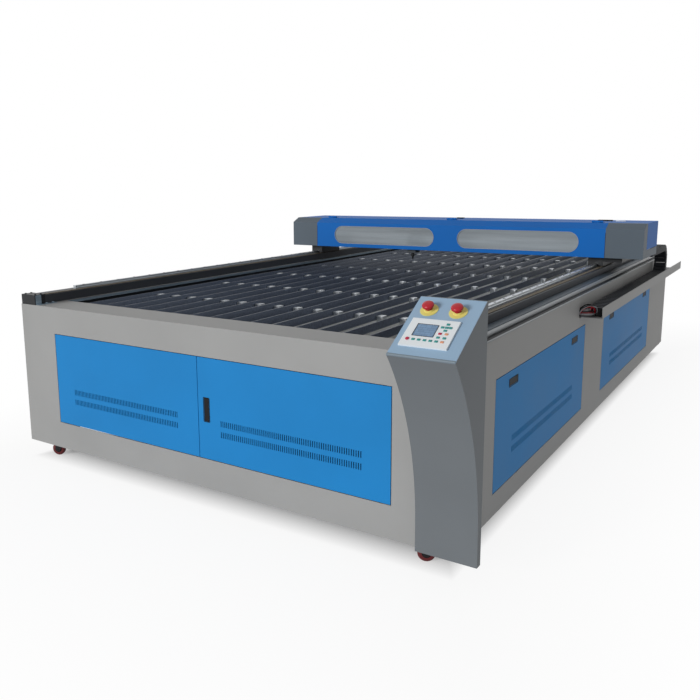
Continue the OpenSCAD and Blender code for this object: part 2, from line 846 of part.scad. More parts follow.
// Cable chain: a run in the tray, the bend behind the gantry and a run back to the gantry
module cable_chain() {
    run_end = chain_y + run_n * link_l;
    bend_n = floor(PI * bend_r / link_l);
    step = 180 / bend_n;
    upper_end = gantry_y + gantry_d + slide_gap;
    upper_n = floor((run_end - upper_end) / link_l);
    color(black) translate([chain_x, 0, 0]) {
        for (i = [0 : run_n - 1])
            translate([0, chain_y + (i + 0.5) * link_l, chain_z]) chain_link();
        translate([0, run_end, chain_z + bend_r]) intersection() {
            for (i = [0 : bend_n - 1])
                rotate([(i + 0.5) * step, 0, 0]) translate([0, 0, -bend_r]) chain_bend_link(step);
            bar_x([-over, 0, 0], bend_r + link_h / 2, link_w + 2 * over);
        }
        for (i = [0 : upper_n - 1])
            translate([0, run_end - (i + 0.5) * link_l, chain_z + 2 * bend_r]) chain_link();
        span([0, upper_end, chain_z + 2 * bend_r - link_h / 2],
            [link_w, run_end - upper_n * link_l - slide_gap, chain_z + 2 * bend_r + link_h / 2]);
    }
}

// Chain link in the bend, cut to a wedge so that neighbours meet
module chain_bend_link(step) {
    low = (bend_r - link_h / 2) * tan(step / 2) - slide_gap / 2;
    high = (bend_r + link_h / 2) * tan(step / 2) - slide_gap / 2;
    translate([0, 0, 0]) rotate([90, 0, 90]) difference() {
        linear_extrude(link_w) polygon([[-high, -link_h / 2], [high, -link_h / 2], [low, link_h / 2],
            [-low, link_h / 2]]);
        translate([-2 * high, -link_h / 2 + link_wall, link_wall])
            cube([4 * high, link_h - 2 * link_wall, link_w - 2 * link_wall]);
    }
}

// Wires from the chain's front end into the right wall
wire_r = 4;
wire_n = 5;
wire_hole_r = 28;
wire_turn = 46;
wire_y = chain_y - wire_turn;
wire_step = (2 * wire_r + touch) * sqrt(2) + 0.2;
wire_z = chain_z - link_h / 2 + link_wall + touch + wire_r + (wire_n - 1) * wire_step / 4;

module chain_wires() {
    color(black) for (i = [0 : wire_n - 1]) {
        lift = (i - (wire_n - 1) / 2) * wire_step;
        turn = wire_turn - lift / 2;
        level = wire_z + lift / 2;
        translate([half_w - sheet, chain_y + sheet, level]) rotate([0, 0, -90])
            rotate_extrude(angle = 90) translate([turn + sheet, 0]) circle(r = wire_r);
    }
}

// Section of the pod in Y and Z, grown inwards by an inset
module pod_section(inset, top_up) {
    centre = [-pod_foot - pod_curve_r + inset, pod_curve_z];
    difference() {
        polygon([[-inset, floor_gap + inset], [-pod_d, floor_gap + inset], [-pod_d, pod_front_z],
            [-pod_d, pod_front_z + top_up], [-pod_flat, pod_top_z + top_up], [-inset, pod_top_z + top_up]]);
        translate(centre) circle(r = pod_curve_r, $fn = 96);
        translate([-pod_d - over, floor_gap - over])
            square([pod_d - pod_foot + inset + over, pod_curve_z - floor_gap + over]);
    }
}

// Sets a section in Y and Z upright and gives it a width along X
module across(w) {
    rotate([90, 0, 90]) linear_extrude(w) children();
}

// Curved shell of the pod, open under the sloped panel
module pod_shell() {
    color(dark_grey) translate([pod_x, 0, 0]) difference() {
        across(pod_w) pod_section(0, 0);
        translate([sheet, 0, 0]) across(pod_w - 2 * sheet) pod_section(sheet, 50);
        on_slope_local() translate([-over, -50, -sheet]) cube([pod_w + 2 * over, slope_l + 50, 100]);
    }
}

// Frame on the sloped panel: X along its front edge, Y up the slope, Z out of it
module on_slope_local() {
    translate([0, -pod_d, pod_front_z]) rotate([slope_a, 0, 0]) children();
}

module on_slope() {
    translate([pod_x, 0, 0]) on_slope_local() children();
}

// Sloped panel with the holes for the controller and the emergency stops
module control_panel() {
    rim = 8;
    color("#8b9cab") on_slope() difference() {
        translate([0, 0, -sheet]) cube([pod_w, slope_l, sheet]);
        translate([ctl_x + rim, ctl_y + rim, -sheet - over])
            cube([ctl_w - 2 * rim, ctl_h - 2 * rim, sheet + 2 * over]);
        for (x = [stop_1_x, stop_2_x]) translate([x, stop_y, -sheet - over])
            cylinder(r = stem_r + pin_gap, h = sheet + 2 * over);
    }
}

// Controller: a face plate on the panel and a body behind it, with a recess for the screen
module controller() {
    rim = 8;
    color("#e9ecec") on_slope() translate([ctl_x, ctl_y, 0]) difference() {
        union() {
            cube([ctl_w, ctl_h, ctl_t]);
            translate([rim + slide_gap, rim + slide_gap, -26])
                cube([ctl_w - 2 * rim - 2 * slide_gap, ctl_h - 2 * rim - 2 * slide_gap, 27]);
        }
        translate([screen_x, screen_y, ctl_t - 2.5]) cube([screen_w, screen_h, 5]);
    }
}

module controller_screen() {
    color("#5b7f99") on_slope() translate([ctl_x + screen_x, ctl_y + screen_y, ctl_t - 2.5])
        cube([screen_w, screen_h, 2]);
}

// Yellow plates under the emergency stops
module stop_plates() {
    color("#e3cf3a") on_slope() for (x = [stop_1_x, stop_2_x]) translate([x, stop_y, 0]) difference() {
        cylinder(r = plate_r, h = 2);
        translate([0, 0, -over]) cylinder(r = stem_r + slide_gap, h = 2 + 2 * over);
    }
}

// Mushroom head of an emergency stop on its stem
module stop_button(x) {
    crown = 5;
    color("#c0202a") on_slope() translate([x, stop_y, 0]) {
        translate([0, 0, -20]) cylinder(r = stem_r, h = 20 + stop_up + 4);
        translate([0, 0, stop_up]) cylinder(r1 = stop_r - 4, r2 = stop_r, h = 4);
        translate([0, 0, stop_up + 4]) cylinder(r = stop_r, h = 7);
        translate([0, 0, stop_up + 11]) cylinder(r1 = stop_r, r2 = stop_r - crown, h = crown);
    }
}

module left_stop_button() {
    stop_button(stop_1_x);
}

module right_stop_button() {
    stop_button(stop_2_x);
}

// Equipment plate behind the doors, standing on a frame tube
module equipment_plate() {
    color(steel) translate([-equip_w / 2, equip_y + 20, floor_gap + tube]) cube([equip_w, sheet, equip_h]);
}

// Laser supply and motor drivers on the equipment plate
module control_modules() {
    supply_x = -equip_w / 2 + supply_in;
    driver_x = supply_x + supply_w + driver_gap;
    relay_x = equip_w / 2 - relay_in - relay_w;
    color("#3b4046") translate([0, equip_y + 20, floor_gap + tube + module_up]) {
        translate([supply_x, -supply_d, 0]) cube([supply_w, supply_d, supply_h]);
        for (i = [0 : 2])
            translate([driver_x + i * driver_pitch, -driver_d, 0]) cube([driver_w, driver_d, driver_h]);
        translate([relay_x, -relay_d, 0]) cube([relay_w, relay_d, relay_h]);
    }
}

// Door pan with vents and hinge bores, its hinge edge at x = 0
module door_pan() {
    difference() {
        pan(door_w, door_h);
        vent_slots(door_w, door_vent_in);
        for (z = [-over, door_h - sheet - over]) translate([hinge_in, hinge_in, z])
            cylinder(r = hinge_r + pin_gap, h = sheet + 2 * over);
    }
}

module left_door() {
    color(blue) translate([-door_open_w / 2 + door_gap, 0, sill_z + door_gap]) door_pan();
}

// Place of the door lock's top, measured on the right door
door_lock_x = door_gap / 2 + door_lock_in;
door_lock_top = sill_z + door_gap + door_lock_z + lock_l / 2;

module right_door() {
    color(blue) difference() {
        union() {
            translate([door_open_w / 2 - door_gap, 0, sill_z + door_gap]) mirror([1, 0, 0]) door_pan();
            translate([door_lock_x, 0, door_lock_top]) lock_pocket();
        }
        translate([door_lock_x, 0, door_lock_top]) lock_pocket_hollow();
    }
}

module door_lock() {
    color(black) translate([door_lock_x, 0, door_lock_top]) lock_paddle();
}

// Turns a wall that lies in X and Z at the front into the right wall, its left edge at y = 0
module on_right_wall(y, z) {
    translate([half_w, y, z]) rotate([0, 0, 90]) children();
}

// Places of the pivots of the two locks of an access panel, along the panel
function lock_spots(l) = [side_lock_in - lock_l / 2, l - side_lock_in - lock_l / 2];

// Lays a hanging lock along a panel with its pivot at the left
module lay_lock(l, i) {
    translate([lock_spots(l)[i], 0, panel_h - side_lock_down]) rotate([0, -90, 0]) children();
}

// Access panel with vents, hinge bores along its foot and two lock pockets
module access_panel(y, open_l) {
    l = open_l - 2 * door_gap;
    color(blue) on_right_wall(y + door_gap, side_z + door_gap) difference() {
        union() {
            pan(l, panel_h);
            for (i = [0, 1]) lay_lock(l, i) lock_pocket();
        }
        vent_slots(l, side_vent_in);
        for (x = [-over, l - sheet - over])
            bar_x([x, hinge_in, hinge_in], hinge_r + pin_gap, sheet + 2 * over);
        for (i = [0, 1]) lay_lock(l, i) lock_pocket_hollow();
    }
}

module front_access_panel() {
    access_panel(side_1_y, side_1_l);
}

module rear_access_panel() {
    access_panel(side_2_y, side_2_l);
}

// Lock paddle of an access panel
module side_lock(y, open_l, i) {
    l = open_l - 2 * door_gap;
    color(black) on_right_wall(y + door_gap, side_z + door_gap) lay_lock(l, i) lock_paddle();
}

module front_lock_1() {
    side_lock(side_1_y, side_1_l, 0);
}

module front_lock_2() {
    side_lock(side_1_y, side_1_l, 1);
}

module rear_lock_1() {
    side_lock(side_2_y, side_2_l, 0);
}

module rear_lock_2() {
    side_lock(side_2_y, side_2_l, 1);
}

// Box beam across the gantry with a shelf behind it for the laser tube
module gantry_beam() {
    end_x = gantry_w / 2 - cover_t - slide_gap;
    beam_y0 = gantry_y + beam_in;
    color(steel) {
        span([-end_x, beam_y0, gbeam_z], [end_x, beam_y0 + beam_d, gbeam_z + gbeam_h]);
        span([-end_x, beam_y0 + beam_d, gbeam_z], [end_x, gantry_y + gantry_d - cover_t, gbeam_z + 6]);
    }
}

// Trucks that ride on the guides and carry the beam, each with a jaw over its belt
module gantry_trucks() {
    color(black) for (i = [0, 1]) {
        x = guide_xs[i];
        difference() {
            span([x - truck_w / 2, truck_y, truck_z], [x + truck_w / 2, truck_y + truck_l, gbeam_z]);
            span([x - guide_w / 2 - slide_gap, truck_y - over, truck_z - over],
                [x + guide_w / 2 + slide_gap, truck_y + truck_l + over, beam_top + guide_h + slide_gap]);
        }
        span([belt_xs[i] - belt_w / 2, truck_y + 40, shaft_z + belt_out_r + touch],
            [min(belt_xs[i] + belt_w / 2, x + truck_w / 2), truck_y + 100, truck_z]);
    }
    color(black) span([right_guide_x + truck_w / 2, truck_y, gbeam_z - wing_h],
        [right_guide_x + truck_w / 2 + wing_w, truck_y + truck_l, gbeam_z]);
}

// Section of the gantry in Y and Z with its front chamfer, shrunk by an inset
module gantry_section(inset, bottom) {
    polygon([[inset, bottom], [inset, gtop - cham_h - inset / 2], [cham_d + inset / 2, gtop - inset],
        [gantry_d - inset, gtop - inset], [gantry_d - inset, bottom]]);
}

// Room that the lid takes out of the covers
module lid_room() {
    span([-gantry_w, lid_y - lid_gap, lid_z - lid_gap], [gantry_w, gantry_d + over, gtop + over]);
}

// Folded skin of the gantry between two places along X, open below
module gantry_skin(x0, x1, hollow_x0, hollow_x1) {
    difference() {
        translate([x0, 0, 0]) across(x1 - x0) gantry_section(0, gz);
        translate([hollow_x0, 0, 0]) across(hollow_x1 - hollow_x0) gantry_section(cover_t, gz - over);
        lid_room();
    }
}

// Blue cover with two window openings, the rear sill and the fixed parts of the lid hinges
module gantry_cover() {
    color(blue) translate([0, gantry_y, 0]) {
        difference() {
            gantry_skin(-seam_x, seam_x, -seam_x - over, seam_x + over);
            for (side = [-1, 1]) window_cut(side * window_x, window_l, window_h, -over, cover_t + 2 * over);
        }
        for (x = [-lid_hinge_x, 0, lid_hinge_x]) hinge_middle(x);
    }
}

// Long window with round ends, cut through the front
module window_cut(x, l, h, y, depth) {
    mid_z = gz + window_up + window_h / 2;
    translate([x, y, mid_z]) {
        translate([-l / 2 + h / 2, 0, -h / 2]) cube([l - h, depth, h]);
        for (s = [-1, 1]) bar_y([s * (l - h) / 2, 0, 0], h / 2, depth);
    }
}

// Middle knuckle of a lid hinge with its pin
module hinge_middle(x) {
    pin_r = knuckle_r / 3;
    bar_x([x - 15, lid_y, hinge_z], knuckle_r, 30);
    bar_x([x - 34, lid_y, hinge_z], pin_r, 68);
    span([x - 15, lid_y - 26, gtop], [x + 15, lid_y - knuckle_r / 2, gtop + 3]);
}

// Clear panes behind the window openings
module gantry_windows() {
    margin = 10;
    color("#c9d2d6", 0.4) translate([0, gantry_y, 0])
        for (side = [-1, 1])
            window_cut(side * window_x, window_l + 2 * margin, window_h + 2 * margin, cover_t, 2);
}

// Grey end caps with their end walls
module gantry_end_caps() {
    end_x = gantry_w / 2;
    color(dark_grey) translate([0, gantry_y, 0]) {
        gantry_skin(-end_x, -seam_x, -end_x + cover_t, -seam_x + over);
        gantry_skin(seam_x, end_x, seam_x - over, end_x - cover_t);
    }
}

// Lid over the laser tube: top, back and end cheeks, with the moving parts of its hinges
module gantry_lid() {
    end_x = gantry_w / 2;
    pin_r = knuckle_r / 3;
    color(blue) translate([0, gantry_y, 0]) {
        span([-end_x, lid_y, gtop - cover_t], [end_x, gantry_d, gtop]);
        span([-end_x, gantry_d - cover_t, lid_z], [end_x, gantry_d, gtop]);
        for (x = [-end_x, end_x - cover_t]) span([x, lid_y, lid_z], [x + cover_t, gantry_d, gtop]);
        for (x = [-lid_hinge_x, 0, lid_hinge_x], side = [-1, 1]) difference() {
            union() {
                bar_x([x + side * 25 - 9, lid_y, hinge_z], knuckle_r, 18);
                span([x + side * 25 - 9, lid_y, gtop - cover_t], [x + side * 25 + 9, lid_y + 24, gtop + 3]);
            }
            bar_x([x + side * 25 - 10, lid_y, hinge_z], pin_r + pin_gap, 20);
        }
    }
}

// Sealed laser tube with its end pieces
module laser_tube() {
    end_l = 60;
    color("#b9c4c9") {
        bar_x([-tube_l / 2, tube_y, tube_z], tube_r, tube_l);
        for (x = [-tube_l / 2 - end_l, tube_l / 2]) bar_x([x, tube_y, tube_z], tube_r * 0.6, end_l);
    }
}

// Split clamps that hold the laser tube on the shelf
module tube_clamps() {
    clamp_w = 40;
    wall = 10;
    color(black) for (x = [-tube_l * 0.35, tube_l * 0.35]) difference() {
        span([x - clamp_w / 2, tube_y - tube_r - wall, gbeam_z + 6],
            [x + clamp_w / 2, tube_y + tube_r + wall, tube_z + tube_r + wall]);
        bar_x([x - clamp_w / 2 - over, tube_y, tube_z], tube_r + pin_gap, clamp_w + 2 * over);
    }
}

// Linear guide for the head on the front of the beam
module head_guide() {
    color(steel) span([-seam_x + 10, gantry_y + beam_in - 15, head_guide_z],
        [seam_x - 10, gantry_y + beam_in, head_guide_z + guide_w]);
}

// Belt that pulls the head, between its two end housings
module head_belt() {
    color("#4a453d") for (z = [head_guide_z + 36, head_guide_z + 62])
        span([-seam_x + 20, gantry_y + beam_in - 24, z], [seam_x - 20, gantry_y + beam_in - 8, z + belt_t]);
}

// Closed belt housings at both ends of the beam and the head motor
module head_drive() {
    y1 = gantry_y + beam_in;
    motor_x = seam_x - housing_in + housing_w;
    color(black) {
        for (x = [-seam_x + housing_in - housing_w, seam_x - housing_in])
            span([x, y1 - housing_d, head_guide_z + 28], [x + housing_w, y1, gbeam_z + gbeam_h + 26]);
        span([motor_x, y1 - motor_d, head_guide_z + 10], [motor_x + motor_l, y1, gbeam_z + gbeam_h + 10]);
    }
}

// Carriage on the head guide with the block that holds the lens tube
module head_carriage() {
    y1 = gantry_y + beam_in;
    guide_front = y1 - 15;
    block_y = head_y - 26;
    color(dark_grey) difference() {
        union() {
            span([head_x - head_w / 2, guide_front - 22, head_guide_z - 12],
                [head_x + head_w / 2, y1 - 3, head_guide_z + guide_w + 12]);
            span([head_x - 32, block_y, gz - 25],
                [head_x + 32, guide_front - 10, head_guide_z + guide_w + 12]);
            span([head_x - 20, y1 - 24, head_guide_z + guide_w],
                [head_x + 20, y1 - 8, head_guide_z + 36 - touch]);
        }
        span([head_x - head_w, guide_front - slide_gap, head_guide_z - slide_gap],
            [head_x + head_w, y1, head_guide_z + guide_w + slide_gap]);
        translate([head_x, head_y, gz - 30]) cylinder(r = lens_r + pin_gap, h = 200);
    }
}

// Lens tube with the tapered nozzle at its lower end
module lens_tube() {
    nozzle_h = 28;
    color(black) translate([head_x, head_y, nozzle_z]) {
        cylinder(r1 = 2, r2 = lens_r - 3, h = nozzle_h);
        translate([0, 0, nozzle_h]) cylinder(r = lens_r, h = gz + 20 + 110 - nozzle_z - nozzle_h);
        translate([0, 0, nozzle_h + 2]) cylinder(r = lens_r + 5, h = 8);
    }
}

// Caster fork with its swivel pin, the wheel's axle behind the swivel axis
module caster_fork(corner) {
    color(steel) translate([corner[0], corner[1], 0]) rotate([0, 0, caster_turn]) {
        translate([0, 0, fork_top]) cylinder(r = king_r, h = caster_t - 0.5);
        difference() {
            union() {
                span([-cheek_in - fork_t, -16, fork_top - fork_t], [cheek_in + fork_t, 34, fork_top]);
                for (side = [-1, 1]) fork_cheek(side);
            }
            bar_x([-cheek_in - 2 * fork_t, trail, wheel_d / 2], axle_r + pin_gap,
                2 * cheek_in + 4 * fork_t);
        }
    }
}

// One cheek of a caster fork, tapered down to the axle
module fork_cheek(side) {
    x0 = side > 0 ? cheek_in : -cheek_in - fork_t;
    translate([x0, 0, 0]) across(fork_t)
        polygon([[-16, fork_top], [34, fork_top], [trail + 10, wheel_d / 2 - 10],
            [trail - 10, wheel_d / 2 - 10]]);
}

// Caster wheel with a rounded tread and its axle
module caster_wheel(corner) {
    r = wheel_d / 2;
    bead = 6;
    axle_l = 2 * cheek_in + 2 * fork_t;
    color("#5a1f22") translate([corner[0], corner[1], r]) rotate([0, 0, caster_turn])
        translate([0, trail, 0]) rotate([0, 90, 0]) {
            translate([0, 0, -axle_l / 2]) cylinder(r = axle_r, h = axle_l);
            rotate_extrude() polygon([[0, -wheel_w / 2], [r - bead, -wheel_w / 2], [r, -wheel_w / 2 + bead],
                [r, wheel_w / 2 - bead], [r - bead, wheel_w / 2], [0, wheel_w / 2]]);
        }
}

module front_left_fork() {
    caster_fork(caster_corners()[0]);
}

module front_left_wheel() {
    caster_wheel(caster_corners()[0]);
}

module front_right_fork() {
    caster_fork(caster_corners()[1]);
}

module front_right_wheel() {
    caster_wheel(caster_corners()[1]);
}

module rear_left_fork() {
    caster_fork(caster_corners()[2]);
}

module rear_left_wheel() {
    caster_wheel(caster_corners()[2]);
}

module rear_right_fork() {
    caster_fork(caster_corners()[3]);
}

module rear_right_wheel() {
    caster_wheel(caster_corners()[3]);
}

from_front() base_frame();
from_front() front_panel();
from_front() left_panel();
from_front() right_panel();
from_front() rear_panel();
from_front() exhaust_spigots();
from_front() dust_tray();
from_front() bed_crossbars();
from_front() bed_slats();
from_front() slat_clips();
from_front() bed_edge_strips();
from_front() rail_beams();
from_front() guide_rails();
from_front() drive_belts();
from_front() belt_end_blocks();
from_front() shaft_bearings();
from_front() drive_motor();
from_front() drive_shaft();
from_front() chain_tray();
from_front() cable_chain();
from_front() chain_wires();
from_front() pod_shell();
from_front() control_panel();
from_front() controller();
from_front() controller_screen();
from_front() stop_plates();
from_front() left_stop_button();
from_front() right_stop_button();
from_front() equipment_plate();
from_front() control_modules();
from_front() left_door();
from_front() right_door();
from_front() door_lock();
from_front() front_access_panel();
from_front() rear_access_panel();
from_front() front_lock_1();
from_front() front_lock_2();
from_front() rear_lock_1();
from_front() rear_lock_2();
from_front() gantry_beam();
from_front() gantry_trucks();
from_front() gantry_cover();
from_front() gantry_windows();
from_front() gantry_end_caps();
from_front() gantry_lid();
from_front() laser_tube();
from_front() tube_clamps();
from_front() head_guide();
from_front() head_belt();
from_front() head_drive();
from_front() head_carriage();
from_front() lens_tube();
from_front() front_left_fork();
from_front() front_left_wheel();
from_front() front_right_fork();
from_front() front_right_wheel();
from_front() rear_left_fork();
from_front() rear_left_wheel();
from_front() rear_right_fork();
from_front() rear_right_wheel();
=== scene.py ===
"""Looks of the flatbed laser cutter: finishes, small hardware, light and camera."""

import json
import logging
import math
from dataclasses import dataclass, field
from enum import Enum
from typing import Any, Iterable, Sequence

import bmesh
import bpy
from mathutils import Matrix, Vector

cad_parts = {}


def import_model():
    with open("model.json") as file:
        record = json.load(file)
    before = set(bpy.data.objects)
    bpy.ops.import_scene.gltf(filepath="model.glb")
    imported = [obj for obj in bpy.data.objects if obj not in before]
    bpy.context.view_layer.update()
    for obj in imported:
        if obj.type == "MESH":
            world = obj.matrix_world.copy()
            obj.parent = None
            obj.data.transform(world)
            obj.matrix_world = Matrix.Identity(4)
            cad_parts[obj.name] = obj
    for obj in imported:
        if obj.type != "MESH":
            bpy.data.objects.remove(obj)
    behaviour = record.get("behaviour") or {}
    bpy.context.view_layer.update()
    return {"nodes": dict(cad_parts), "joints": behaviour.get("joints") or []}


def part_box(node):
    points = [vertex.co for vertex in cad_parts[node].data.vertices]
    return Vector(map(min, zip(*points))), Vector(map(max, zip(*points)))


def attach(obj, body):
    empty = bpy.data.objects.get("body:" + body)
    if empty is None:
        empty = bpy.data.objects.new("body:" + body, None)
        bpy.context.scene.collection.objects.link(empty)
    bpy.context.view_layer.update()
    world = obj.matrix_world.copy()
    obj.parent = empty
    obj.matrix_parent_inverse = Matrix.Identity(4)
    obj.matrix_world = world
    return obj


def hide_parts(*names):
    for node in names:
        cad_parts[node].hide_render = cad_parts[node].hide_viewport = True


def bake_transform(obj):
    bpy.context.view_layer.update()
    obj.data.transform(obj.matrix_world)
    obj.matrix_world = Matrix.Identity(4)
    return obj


LOG = logging.getLogger("laser_cutter")
MM = 0.001
# Depth in metres by which a small piece is sunk into the one that carries it
SINK = 0.0002
# Width in metres of the bevel on small turned pieces
FINE = 0.0008

Point = tuple[float, float, float]
Pair = tuple[float, float]
Colour = tuple[float, float, float, float]
Tree = bpy.types.NodeTree
Socket = bpy.types.NodeSocket

UP: Point = (0.0, 0.0, 1.0)
WHITE: Colour = (1.0, 1.0, 1.0, 1.0)


class Body(str, Enum):
    """Bodies of the machine that pieces ride on."""

    MACHINE = "machine"
    GANTRY = "gantry"
    LID = "gantry_lid"
    LENS = "lens_tube"
    LEFT_DOOR = "left_door"
    RIGHT_DOOR = "right_door"
    FRONT_PANEL = "front_access_panel"
    REAR_PANEL = "rear_access_panel"
    LEFT_STOP = "left_stop_button"
    RIGHT_STOP = "right_stop_button"
    FRONT_LEFT_WHEEL = "front_left_wheel"
    FRONT_RIGHT_WHEEL = "front_right_wheel"
    REAR_LEFT_WHEEL = "rear_left_wheel"
    REAR_RIGHT_WHEEL = "rear_right_wheel"


def linear(code: str, factor: float = 1.0) -> Colour:
    """Turns an sRGB hex value into a linear colour.

    Args:
        code: Six hex digits with a leading hash.
        factor: Share by which the colour is made lighter or darker.

    Returns:
        Linear red, green, blue and an alpha of one.
    """
    parts = [int(code[i:i + 2], 16) / 255 for i in (1, 3, 5)]
    red, green, blue = (p / 12.92 if p <= 0.04045 else ((p + 0.055) / 1.055) ** 2.4 for p in parts)
    return min(red * factor, 1.0), min(green * factor, 1.0), min(blue * factor, 1.0), 1.0


def add(tree: Tree, kind: str, settings: dict[str | int, Any] | None = None,
        links: dict[str | int, Socket] | None = None) -> bpy.types.Node:
    """Adds one shader node with its settings and links.

    Args:
        tree: Node tree that takes the node.
        kind: Blender's name of the node type.
        settings: Node properties, and inputs by number or by name with a leading dot.
        links: Input names or numbers, each with the output socket that feeds it.

    Returns:
        The new node.
    """
    made = tree.nodes.new(kind)
    for key, value in (settings or {}).items():
        if isinstance(key, int):
            made.inputs[key].default_value = value
        elif key.startswith("."):
            made.inputs[key[1:]].default_value = value
        else:
            setattr(made, key, value)
    for key, socket in (links or {}).items():
        tree.links.new(socket, made.inputs[key])
    return made


def blank(name: str) -> tuple[bpy.types.Material, Tree, bpy.types.Node]:
    """Starts a material.

    Args:
        name: Name of the real material.

    Returns:
        The material, its node tree and its surface shader.
    """
    made = bpy.data.materials.new(name)
    made.use_nodes = True
    tree = made.node_tree
    return made, tree, tree.nodes["Principled BSDF"]


def coordinates(tree: Tree) -> Socket:
    """Output with a piece's own coordinates in metres."""
    return add(tree, "ShaderNodeTexCoord").outputs["Object"]


def stretched(tree: Tree, place: Socket, along: Point) -> Socket:
    """Output with coordinates that are scaled by along, so that a pattern is drawn out."""
    return add(tree, "ShaderNodeMapping", {".Scale": along}, {"Vector": place}).outputs["Vector"]


def noise(tree: Tree, place: Socket, size_mm: float, detail: float) -> Socket:
    """Adds a noise pattern.

    Args:
        tree: Node tree that takes the pattern.
        place: Coordinates that the pattern reads.
        size_mm: Size of the pattern in millimetres.
        detail: Number of finer steps in the pattern.

    Returns:
        The pattern's value from zero to one.
    """
    return add(tree, "ShaderNodeTexNoise", {".Scale": 1 / (size_mm * MM), ".Detail": detail},
               {"Vector": place}).outputs["Fac"]


def shades(tree: Tree, colour: str, contrast: float, value: Socket) -> Socket:
    """Adds a change between a darker and a lighter shade of one colour.

    Args:
        tree: Node tree that takes the change.
        colour: Hex value of the middle shade.
        contrast: Share by which the two shades differ from the middle one.
        value: Pattern that leads from the darker to the lighter shade.

    Returns:
        The colour.
    """
    ends = {"data_type": "RGBA", 6: linear(colour, 1 - contrast), 7: linear(colour, 1 + contrast)}
    return add(tree, "ShaderNodeMix", ends, {0: value}).outputs[2]


def remap(tree: Tree, value: Socket, low: float, high: float) -> Socket:
    """Output that runs from low to high while a value runs from zero to one."""
    return add(tree, "ShaderNodeMapRange", {".To Min": low, ".To Max": high},
               {"Value": value}).outputs["Result"]


def ramp(tree: Tree, value: Socket, low: float, high: float) -> Socket:
    """Output that runs from zero to one while a value runs from low to high."""
    return add(tree, "ShaderNodeMapRange", {".From Min": low, ".From Max": high},
               {"Value": value}).outputs["Result"]


def bump(tree: Tree, height: Socket, strength: float, depth: float) -> Socket:
    """Output with the normal of a relief whose depth is in metres."""
    return add(tree, "ShaderNodeBump", {".Strength": strength, ".Distance": depth},
               {"Height": height}).outputs["Normal"]


def feed(tree: Tree, shader: bpy.types.Node, inputs: dict[str, Socket | float]) -> None:
    """Sets or links inputs of a surface shader.

    Args:
        tree: Node tree of the shader.
        shader: Surface shader.
        inputs: Input names, each with a plain number or the output that feeds it.
    """
    for name, value in inputs.items():
        if isinstance(value, float):
            shader.inputs[name].default_value = value
        else:
            tree.links.new(value, shader.inputs[name])


@dataclass(frozen=True)
class PowderCoat:
    """Powder-coated sheet steel: an even colour with a fine orange peel and a soft gloss."""

    name: str
    colour: str
    roughness: float = 0.5
    sheen: float = 0.22
    peel_mm: float = 14.0
    cloud_mm: float = 420.0
    dust: float = 0.12
    uneven: Pair = (-0.05, 0.07)
    relief: Pair = (0.06, 0.0006)
    ior: float = 1.5

    def build(self) -> bpy.types.Material:
        """Makes the coat. The peel of about 1 mm is drawn at peel_mm so that it shows in the render.

        Returns:
            The new material.
        """
        made, tree, shader = blank(self.name)
        place = coordinates(tree)
        cloud = noise(tree, place, self.cloud_mm, 3.0)
        feed(tree, shader, {
            "Base Color": shades(tree, self.colour, self.dust, cloud),
            "Roughness": remap(tree, cloud, *(self.roughness + u for u in self.uneven)),
            "Normal": bump(tree, noise(tree, place, self.peel_mm, 2.0), *self.relief),
            "IOR": self.ior,
            "Specular IOR Level": self.sheen})
        return made


@dataclass(frozen=True)
class DrawnMetal:
    """Rolled or extruded metal: bright, with fine lines along the way it was drawn."""

    name: str
    colour: str
    roughness: float = 0.34
    line_mm: float = 6.0
    along: Point = (1.0, 0.02, 1.0)
    contrast: float = 0.3
    uneven: Pair = (-0.08, 0.1)
    relief: Pair = (0.08, 0.0004)

    def build(self) -> bpy.types.Material:
        """Makes the metal. Draw lines of about 0.2 mm are drawn at line_mm so that they show.

        Returns:
            The new material.
        """
        made, tree, shader = blank(self.name)
        lines = noise(tree, stretched(tree, coordinates(tree), self.along), self.line_mm, 4.0)
        feed(tree, shader, {
            "Base Color": shades(tree, self.colour, self.contrast, lines),
            "Roughness": remap(tree, lines, *(self.roughness + u for u in self.uneven)),
            "Normal": bump(tree, lines, *self.relief),
            "Metallic": 1.0})
        return made


@dataclass(frozen=True)
class SlatExtrusion:
    """Extruded bed slat: a dark oxidised blade on a near-white foot, with lines along the extrusion. The
    foot's near-white is partly pale metal and partly painted light where the slats shade it, and the strong
    contrast of the blade's lines is partly painted highlights.
    """

    name: str
    blade: str
    foot: str
    level: float
    line_mm: float = 7.0
    along: Point = (0.03, 1.0, 1.0)
    # Strong tone change along the blade's lines: extrusion lines, and partly painted highlights
    contrast: float = 0.7
    edge: float = 0.002
    gloss: Pair = (0.28, 0.48)
    metal: Pair = (0.1, 0.55)

    def build(self) -> bpy.types.Material:
        """Makes the slat. It changes from foot to blade at the height level, in metres.

        Returns:
            The new material.
        """
        made, tree, shader = blank(self.name)
        place = coordinates(tree)
        height = add(tree, "ShaderNodeSeparateXYZ", None, {"Vector": place}).outputs["Z"]
        above = ramp(tree, height, self.level - self.edge, self.level + self.edge)
        lines = noise(tree, stretched(tree, place, self.along), self.line_mm, 3.0)
        # Near-white foot: pale metal, and partly painted light where the slats shade it
        tone = add(tree, "ShaderNodeMix", {"data_type": "RGBA", 6: linear(self.foot)},
                   {0: above, 7: shades(tree, self.blade, self.contrast, lines)})
        feed(tree, shader, {
            "Base Color": tone.outputs[2],
            "Roughness": remap(tree, lines, *self.gloss),
            "Metallic": remap(tree, above, *self.metal)})
        return made


